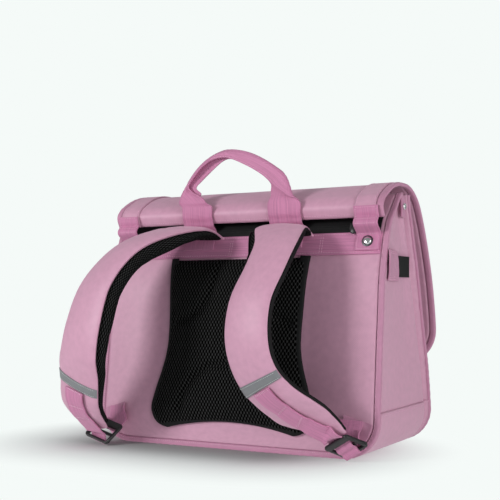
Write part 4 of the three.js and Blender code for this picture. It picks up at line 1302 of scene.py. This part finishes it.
# The grip: the folded edge, the front layer's edge and the back layer's, as shares of the half spacing and the
# rise, then how far the front layer gapes and how deep its middle is pressed, in millimetres
handleFolds = [
    (-1.43, 0.08, -0.74, 0.05, -1.38, 0.08, 0, 0.5), (-1.4, 0.2, -0.84, 0.16, -1.05, 0.16, 0, 3),
    (-1.32, 0.34, -1.08, 0.28, -0.92, 0.25, 0, 4), (-1.24, 0.45, -1.18, 0.39, -1.04, 0.37, 1, 1),
    (-1.08, 0.65, -0.99, 0.6, -0.88, 0.52, 4, 0), (-0.89, 0.82, -0.8, 0.76, -0.71, 0.65, 5, 0),
    (-0.67, 0.95, -0.6, 0.87, -0.53, 0.78, 4, 0), (-0.45, 1.03, -0.41, 0.91, -0.39, 0.86, 2.5, 0),
    (-0.26, 1.06, -0.25, 0.9, -0.25, 0.89, 1, 0), (0.2, 0.98, 0.12, 0.76, 0.12, 0.76, 0, 0),
    (0.7, 0.75, 0.53, 0.54, 0.53, 0.53, 0, 0), (1.0, 0.54, 0.73, 0.38, 0.7, 0.36, 0, 0),
    (1.09, 0.41, 0.8, 0.32, 0.71, 0.3, 0, 0), (1.14, 0.28, 0.92, 0.24, 0.7, 0.24, 0, 0),
    (1.2, 0.12, 1.13, 0.11, 0.7, 0.13, 0, 0),
]


def handleLine():
    # rows of the folded edge, the front edge, the back edge, the gape and the press, from foot to foot
    leg = handle["spacing"] / 2
    wide = handle["leg"] / 2

    def over(length):
        at = flapPoint(0, length, bag["seat"] + handle["thick"]) / mm
        return at.y + bag["depth"] / 2, at.z

    lip = over(0)
    foot = [
        (backY(handle["low"]) - strapSeat - 0.8, handle["low"]),
        (backY(yoke["top"] - 2) - strapSeat - 0.8, yoke["top"] - 2),
        (backY(yoke["top"] + 6.2) - 2.8, yoke["top"] + 6.2),
        (lip[0] - 0.4, lip[1] - 1.5), over(4), over(10),
    ]
    y, z = over(10)[0] - 1, over(18)[1] + handle["stand"]
    foot.append((y, z))
    rise = handle["top"] - z
    rows = [(Vector((-leg - wide, a, b)), Vector((wide - leg, a, b)), Vector((-leg - wide, a, b)), 0, 0)
            for a, b in foot]
    for foldX, foldZ, frontX, frontZ, backX, backZ, gape, press in handleFolds:
        rows.append((*(Vector((leg * across, y, z + rise * up))
                       for across, up in ((foldX, foldZ), (frontX, frontZ), (backX, backZ))), gape, press))
    rows += [(Vector((leg + wide, a, b)), Vector((leg + wide, a, b)), Vector((leg - wide, a, b)), 0, 0)
             for a, b in reversed(foot)]
    return rows


handleRows = handleLine()
handleEdges = [Route([row[i] for row in handleRows], 20) for i in range(3)]
handleMiddle = Route([(row[0] + row[1] + row[2]) / 3 for row in handleRows], 20)


def handlePlace(u, v):
    # across the webbing from its front edge over the fold to its back edge
    raw = handleMiddle.at(v)[2] * (len(handleRows) - 1)
    i = min(int(raw), len(handleRows) - 2)
    k = min(raw * 20, len(handleMiddle.spots) - 1.001)
    fold, front, back = (edge.spots[int(k)].lerp(edge.spots[int(k) + 1], k % 1) for edge in handleEdges)
    gape, press = (mix(handleRows[i][c], handleRows[i + 1][c], raw - i) for c in (3, 4))
    near, far = (front - fold).length, (back - fold).length
    at = u * (near + far)
    apart = handle["gap"] * clamp(near / 5) * clamp(far / 5)
    if at < near:
        t = at / near
        where = front.lerp(fold, t)
        forward = apart * ease((near - at) / 3) + gape * (1 - t) - press * math.sin(math.pi * t)
    else:
        t = (at - near) / max(far, 1e-6)
        where = fold.lerp(back, t)
        forward = -apart * ease((at - near) / 3)
    return spot(where.x, where.y - forward, where.z)


handleFlat = (handle["leg"] * mm, handleMiddle.length * mm)
handlePiece = layCloth("handle_webbing", 44, 300, handlePlace, handleFlat, None)
thicken(handlePiece, handle["thick"], 0, False)
dress(handlePiece, pinkWebbing, "pink_tape", "handle")
gripRow = seam(handlePlace, (0.06, 0.42), (0.06, 0.72), strapWards, 160, 1.0)
sew("handle_stitches", [gripRow], pinkThread, "pink_tape", 0.9)

tab = {"wide": 30, "inset": 5, "up": 4, "bow": 9}
tabMiddle = flap["half"] - tab["inset"] - tab["wide"] / 2


def cornerTab(word, side):
    x = side * tabMiddle
    spots = []
    for i in range(3):
        z = mix(yoke["low"] + tab["up"], yoke["top"] - 2, i / 2)
        spots.append(Vector((x, backY(z) - strapSeat, z)))
    lip = flapPoint(0, 0, 0) / mm
    spots.append(Vector((x, lip.y + bag["depth"] / 2 - tab["bow"], yoke["top"] + yoke["zip"] * 0.75)))
    for length in (3, 8, 14):
        at = flapPoint(x, length, bag["seat"] * 3 + flap["bandThick"] + 0.6) / mm
        spots.append(Vector((at.x, at.y + bag["depth"] / 2, at.z)))
    line = [(at, Vector((1, 0, 0)), tab["wide"]) for at in spots]
    place, _ = webbing("corner_tab_webbing_" + word, "corner_tab_" + word, line, strapWards)
    ends = [((0.07, v), (0.93, v)) for v in (0.03, 0.36, 0.62, 0.7, 0.97)]
    for u in (0.07, 0.93):
        ends += [((u, 0.7), (u, 0.97)), ((u, 0.03), (u, 0.36))]
    sewn = [seam(place, start, end, (0, -1, 0.2), 20, 0.1) for start, end in ends]
    sew("corner_tab_stitches_" + word, sewn, pinkThread, "pink_tape", 0.8)


rivet = {"radius": 6.75, "high": 3.0, "level": 245, "dome": 5.1, "washer": 0.8}


def turnedPiece(name, profile, steps, seat, finish, slot, *nodes):
    # a round piece spun from its side view of (radius, height) pairs
    bm = bmesh.new()
    verts = [bm.verts.new((r, 0, h)) for r, h in profile]
    edges = [bm.edges.new(pair) for pair in zip(verts, verts[1:])]
    bmesh.ops.spin(bm, geom=verts + edges, cent=(0, 0, 0), axis=(0, 0, 1), angle=2 * math.pi, steps=steps,
                   use_merge=True)
    closeUp(bm, 1e-4)
    bmesh.ops.transform(bm, matrix=seat, verts=bm.verts[:])
    return dress(finishMesh(name, bm), finish, slot, *nodes)


def rivetOn(word, side):
    r, h, low = rivet["radius"], rivet["high"], rivet["washer"]
    # the washer's dark metal is painted shade and painted reflection for the shaded gap round the dome
    washer = [(0, 0), (r, 0), (r, low * 0.6), (r - 0.5, low), (rivet["dome"], low * 0.9), (0, low * 0.9)]
    dome = [(0, low)]
    for k in range(9):
        turn = math.pi / 2 * k / 8
        dome.append((rivet["dome"] * math.cos(turn), low + (h - low) * math.sin(turn)))
    lift = bag["seat"] * 3 + yoke["thick"] * 2
    where = spot(side * tabMiddle, backY(rivet["level"]) - lift, rivet["level"])
    seat = Matrix.Translation(where) @ Matrix.Rotation(math.pi / 2 - slopeTurn, 4, "X") @ Matrix.Scale(mm, 4)
    turnedPiece("rivet_washer_" + word, washer, 40, seat, shadedRingMetal, "chrome_metal", "rivet_" + word)
    turnedPiece("dome_rivet_" + word, dome, 48, seat, chrome, "chrome_metal", "rivet_" + word)


for word, side in sides:
    cornerTab(word, side)
    rivetOn(word, side)
print("handle, tabs and rivets set")

slider = {"long": 11, "wide": 8, "thick": 3.2, "at": 147}


def zipSlider():
    z = yoke["top"] + bag["seat"] + yoke["zip"] / 2
    y = backY(z) - bag["seat"] * 4 - yoke["zipThick"] - slider["thick"] / 2
    long, thick, wide = slider["long"], slider["thick"], slider["wide"]
    bm = bmesh.new()
    bodies = [(0, (long, thick * 0.8, wide)), (thick * 0.55, (long * 0.8, thick * 0.5, wide * 0.35))]
    for forward, size in bodies:
        made = bmesh.ops.create_cube(bm, size=1.0)
        for vert in made["verts"]:
            vert.co = Vector([w + c * s for w, c, s in zip((0, -forward, 0), vert.co, size)])
    roundOff(bm, bm.edges[:], 0.6, 2)
    pull = Matrix.Translation((0.5, -thick * 0.9, -4.5)) @ Matrix.Diagonal((4.6, 1.5, 5.6, 1))
    bmesh.ops.create_uvsphere(bm, u_segments=24, v_segments=14, radius=1.0, matrix=pull)
    turn = Matrix.Rotation(-slopeTurn, 4, "X")
    seat = Matrix.Translation(spot(slider["at"], y, z)) @ turn @ Matrix.Scale(mm, 4)
    bmesh.ops.transform(bm, matrix=seat, verts=bm.verts[:])
    dress(finishMesh("zip_runner", bm), blackPlastic, "black_plastic", "zip_slider")


zipSlider()

trim = {"loopLow": 199, "loopHigh": 36, "loopWide": 46, "stand": 2, "elasticWide": 34, "elasticHigh": 25,
        "tabWide": 12, "tabDrop": 26, "snap": 4, "snapHigh": 2.2, "setBack": 4, "thick": 1.6}


def gussetPoint(side, y, z, lift):
    share = (y - gussetY(z, 0)) / (gussetY(z, 1) - gussetY(z, 0))
    return spot(side * (half - gussetInset(z, share) + lift), y, z)


def gussetTrim(word, side):
    start = gussetY(trim["loopLow"], 0) + trim["setBack"]
    facing = (side, 0, 0)

    def loopPlace(u, v):
        z = trim["loopLow"] + trim["loopHigh"] * v
        stand = trim["stand"] * math.sin(math.pi * v) ** 0.6 * (1 + 0.5 * crease(u * 3, v * 3, 71 + side))
        return gussetPoint(side, start + trim["loopWide"] * u, z, bag["seat"] + stand + trim["thick"])

    flat = (trim["loopWide"] * mm, trim["loopHigh"] * mm)
    loop = layCloth("side_loop_cloth_" + word, 24, 24, loopPlace, flat, facing, trim["thick"], 0.4)
    dress(loop, pinkTrim, "pink_tape", "gusset_loop_" + word)
    sewn = [seam(loopPlace, (0.05, v), (0.95, v), facing, 30) for v in (0.05, 0.11, 0.89, 0.95)]
    sewn.append(seam(loopPlace, (0.62, 0.1), (0.62, 0.9), facing, 20))
    sew("side_loop_stitches_" + word, sewn, pinkThread, "pink_tape", 0.8)
    low = trim["loopLow"] + (trim["loopHigh"] - trim["elasticHigh"]) / 2

    def elasticPlace(u, v):
        y = start + trim["loopWide"] + bag["seat"] + trim["elasticWide"] * u
        return gussetPoint(side, y, low + trim["elasticHigh"] * v, bag["seat"] + trim["thick"])

    flat = (trim["elasticWide"] * mm, trim["elasticHigh"] * mm)
    elastic = layCloth("side_elastic_" + word, 20, 16, elasticPlace, flat, facing, trim["thick"], 0.4)
    dress(elastic, blackTape, "black_tape", "gusset_elastic_" + word)
    top = bag["height"] - 2
    middle = (gussetY(top, 0) + gussetY(top, 1)) / 2

    def tabPlace(u, v):
        z = top - trim["tabDrop"] * v
        seat = gussetPoint(side, middle + trim["tabWide"] / 2, z, bag["seat"] * 2 + trim["thick"])
        return Vector((seat.x, (middle + trim["tabWide"] * (u - 0.5) - bag["depth"] / 2) * mm, seat.z))

    flat = (trim["tabWide"] * mm, trim["tabDrop"] * mm)
    strip = layCloth("side_tab_" + word, 8, 16, tabPlace, flat, facing, trim["thick"], 0.4)
    dress(strip, pinkTrim, "pink_tape", "gusset_tab_" + word)
    lift = bag["seat"] * 3 + trim["thick"]
    seat = gussetPoint(side, middle + trim["tabWide"] / 2, top - trim["tabDrop"] / 2, lift)
    where = Vector((seat.x, (middle - bag["depth"] / 2) * mm, seat.z))
    place = Matrix.Translation(where) @ Matrix.Rotation(side * math.pi / 2, 4, "Y") @ Matrix.Scale(mm, 4)
    r, h = trim["snap"], trim["snapHigh"]
    profile = [(0, 0), (r, 0), (r, h * 0.5), (r * 0.85, h * 0.9), (r * 0.6, h * 0.9), (r * 0.5, h * 0.6),
               (r * 0.3, h * 0.6), (r * 0.2, h), (0, h)]
    turnedPiece("press_snap_" + word, profile, 32, place, chrome, "chrome_metal", "snap_" + word)


for word, side in sides:
    gussetTrim(word, side)
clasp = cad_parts["front_clasp"]
clasp.data.materials.clear()
clasp.data.materials.append(blackPlastic)
print("trim set")

# Floor, light and camera
view = {"eye": (0.5835, -1.1038, 0.1766), "target": (-0.01106, -0.019, 0.24094), "lens": 70.19}
lights = {
    "key": {"energy": 19.5, "at": (-1.0, -1.65, 0.72), "to": (0, 0, 0.15), "size": 0.45},
    "side": {"energy": 17.5, "at": (1.75, -0.8, 0.42), "to": (0, 0, 0.08), "size": 1.2},
    "top": {"energy": 4, "at": (0.25, 0.5, 2.2), "to": (0, 0, 0.1), "size": 2.0},
}
ambientLook = {"colour": (0.95, 1.0, 0.99, 1), "strength": 0.27}
# The floor's box under the bag, how far from it the backdrop starts and is full, how far the painted contact
# shadow goes and how dark it is painted, and how much light the backdrop throws back
ground = {"middle": (-0.05, -0.07, 0), "half": (0.1, 0.02, 0), "near": 0.04, "far": 0.22, "paintedShadowReach": 0.12,
          "dark": 0.4, "bounce": 0.35}


def paleFloor():
    # diffuse near the bag, where its shadow falls and a contact shadow is painted darker into its colour for
    # the camera, and an even pale backdrop further out
    made, tree, shader = newFinish("pale_floor", 0.9)
    where = node(tree, "ShaderNodeTexCoord")
    moved = vectors(tree, "SUBTRACT", (where, "Object"), ground["middle"])
    beside = vectors(tree, "SUBTRACT", vectors(tree, "ABSOLUTE", moved), ground["half"])
    away = vectors(tree, "LENGTH", vectors(tree, "MAXIMUM", beside))
    far = ranged(tree, away, ground["near"], ground["far"], way="SMOOTHSTEP")
    # painted shadow: the floor's colour fades darker towards the box under the bag
    paintedShadowFade = ranged(tree, away, 0.0, ground["paintedShadowReach"], way="SMOOTHSTEP")
    glow = node(tree, "ShaderNodeEmission", {"Color": (*finishes["backdrop"], 1), "Strength": 1.0})
    seen = node(tree, "ShaderNodeLightPath")
    unseen = maths(tree, "SUBTRACT", 1.0, (seen, "Is Camera Ray"))
    clearOfPaintedShadow = maths(tree, "MAXIMUM", paintedShadowFade, unseen)
    # painted shadow: camera rays see the floor darkened to its dark share next to the bag, other rays see it
    # clear
    pale = tinted(tree, clearOfPaintedShadow, shade(finishes["floor"], ground["dark"]), finishes["floor"], 0.0, 1.0)
    feed(tree, shader, {"Base Color": pale})
    share = maths(tree, "MAXIMUM", maths(tree, "MULTIPLY", far, (seen, "Is Camera Ray")),
                  maths(tree, "MULTIPLY", unseen, ground["bounce"]))
    both = node(tree, "ShaderNodeMixShader", {0: share, 1: (shader, 0), 2: (glow, 0)})
    feed(tree, tree.nodes["Material Output"], {"Surface": (both, 0)})
    return made


def stageFloor():
    bm = bmesh.new()
    bmesh.ops.create_grid(bm, x_segments=8, y_segments=8, size=30)
    floor = finishMesh("floor", bm, (0, 0, 1))
    floor.data.materials.append(paleFloor())


def aim(name, data, place, target):
    thing = bpy.data.objects.new(name, data)
    bpy.context.scene.collection.objects.link(thing)
    thing.location = place
    thing.rotation_euler = (Vector(target) - Vector(place)).to_track_quat("-Z", "Y").to_euler()
    return thing


stageFloor()
for name, look in lights.items():
    lamp = bpy.data.lights.new(name, "AREA")
    lamp.size = look["size"]
    lamp.energy = look["energy"]
    aim(name, lamp, look["at"], look["to"])
world = bpy.data.worlds.new("studio")
world.use_nodes = True
sky = world.node_tree
ambient = sky.nodes["Background"]
feed(sky, ambient, {"Color": ambientLook["colour"], "Strength": ambientLook["strength"]})
backdrop = node(sky, "ShaderNodeBackground", {"Color": (*finishes["backdrop"], 1), "Strength": 1.0})
seen = node(sky, "ShaderNodeLightPath")
both = node(sky, "ShaderNodeMixShader", {0: (seen, "Is Camera Ray"), 1: (ambient, 0), 2: (backdrop, 0)})
feed(sky, sky.nodes["World Output"], {"Surface": (both, 0)})
bpy.context.scene.world = world
bpy.context.scene.view_settings.view_transform = "Standard"
lens = bpy.data.cameras.new("camera")
lens.lens = view["lens"]
lens.sensor_width = 36
bpy.context.scene.camera = aim("camera", lens, view["eye"], view["target"])
print("camera and light set")
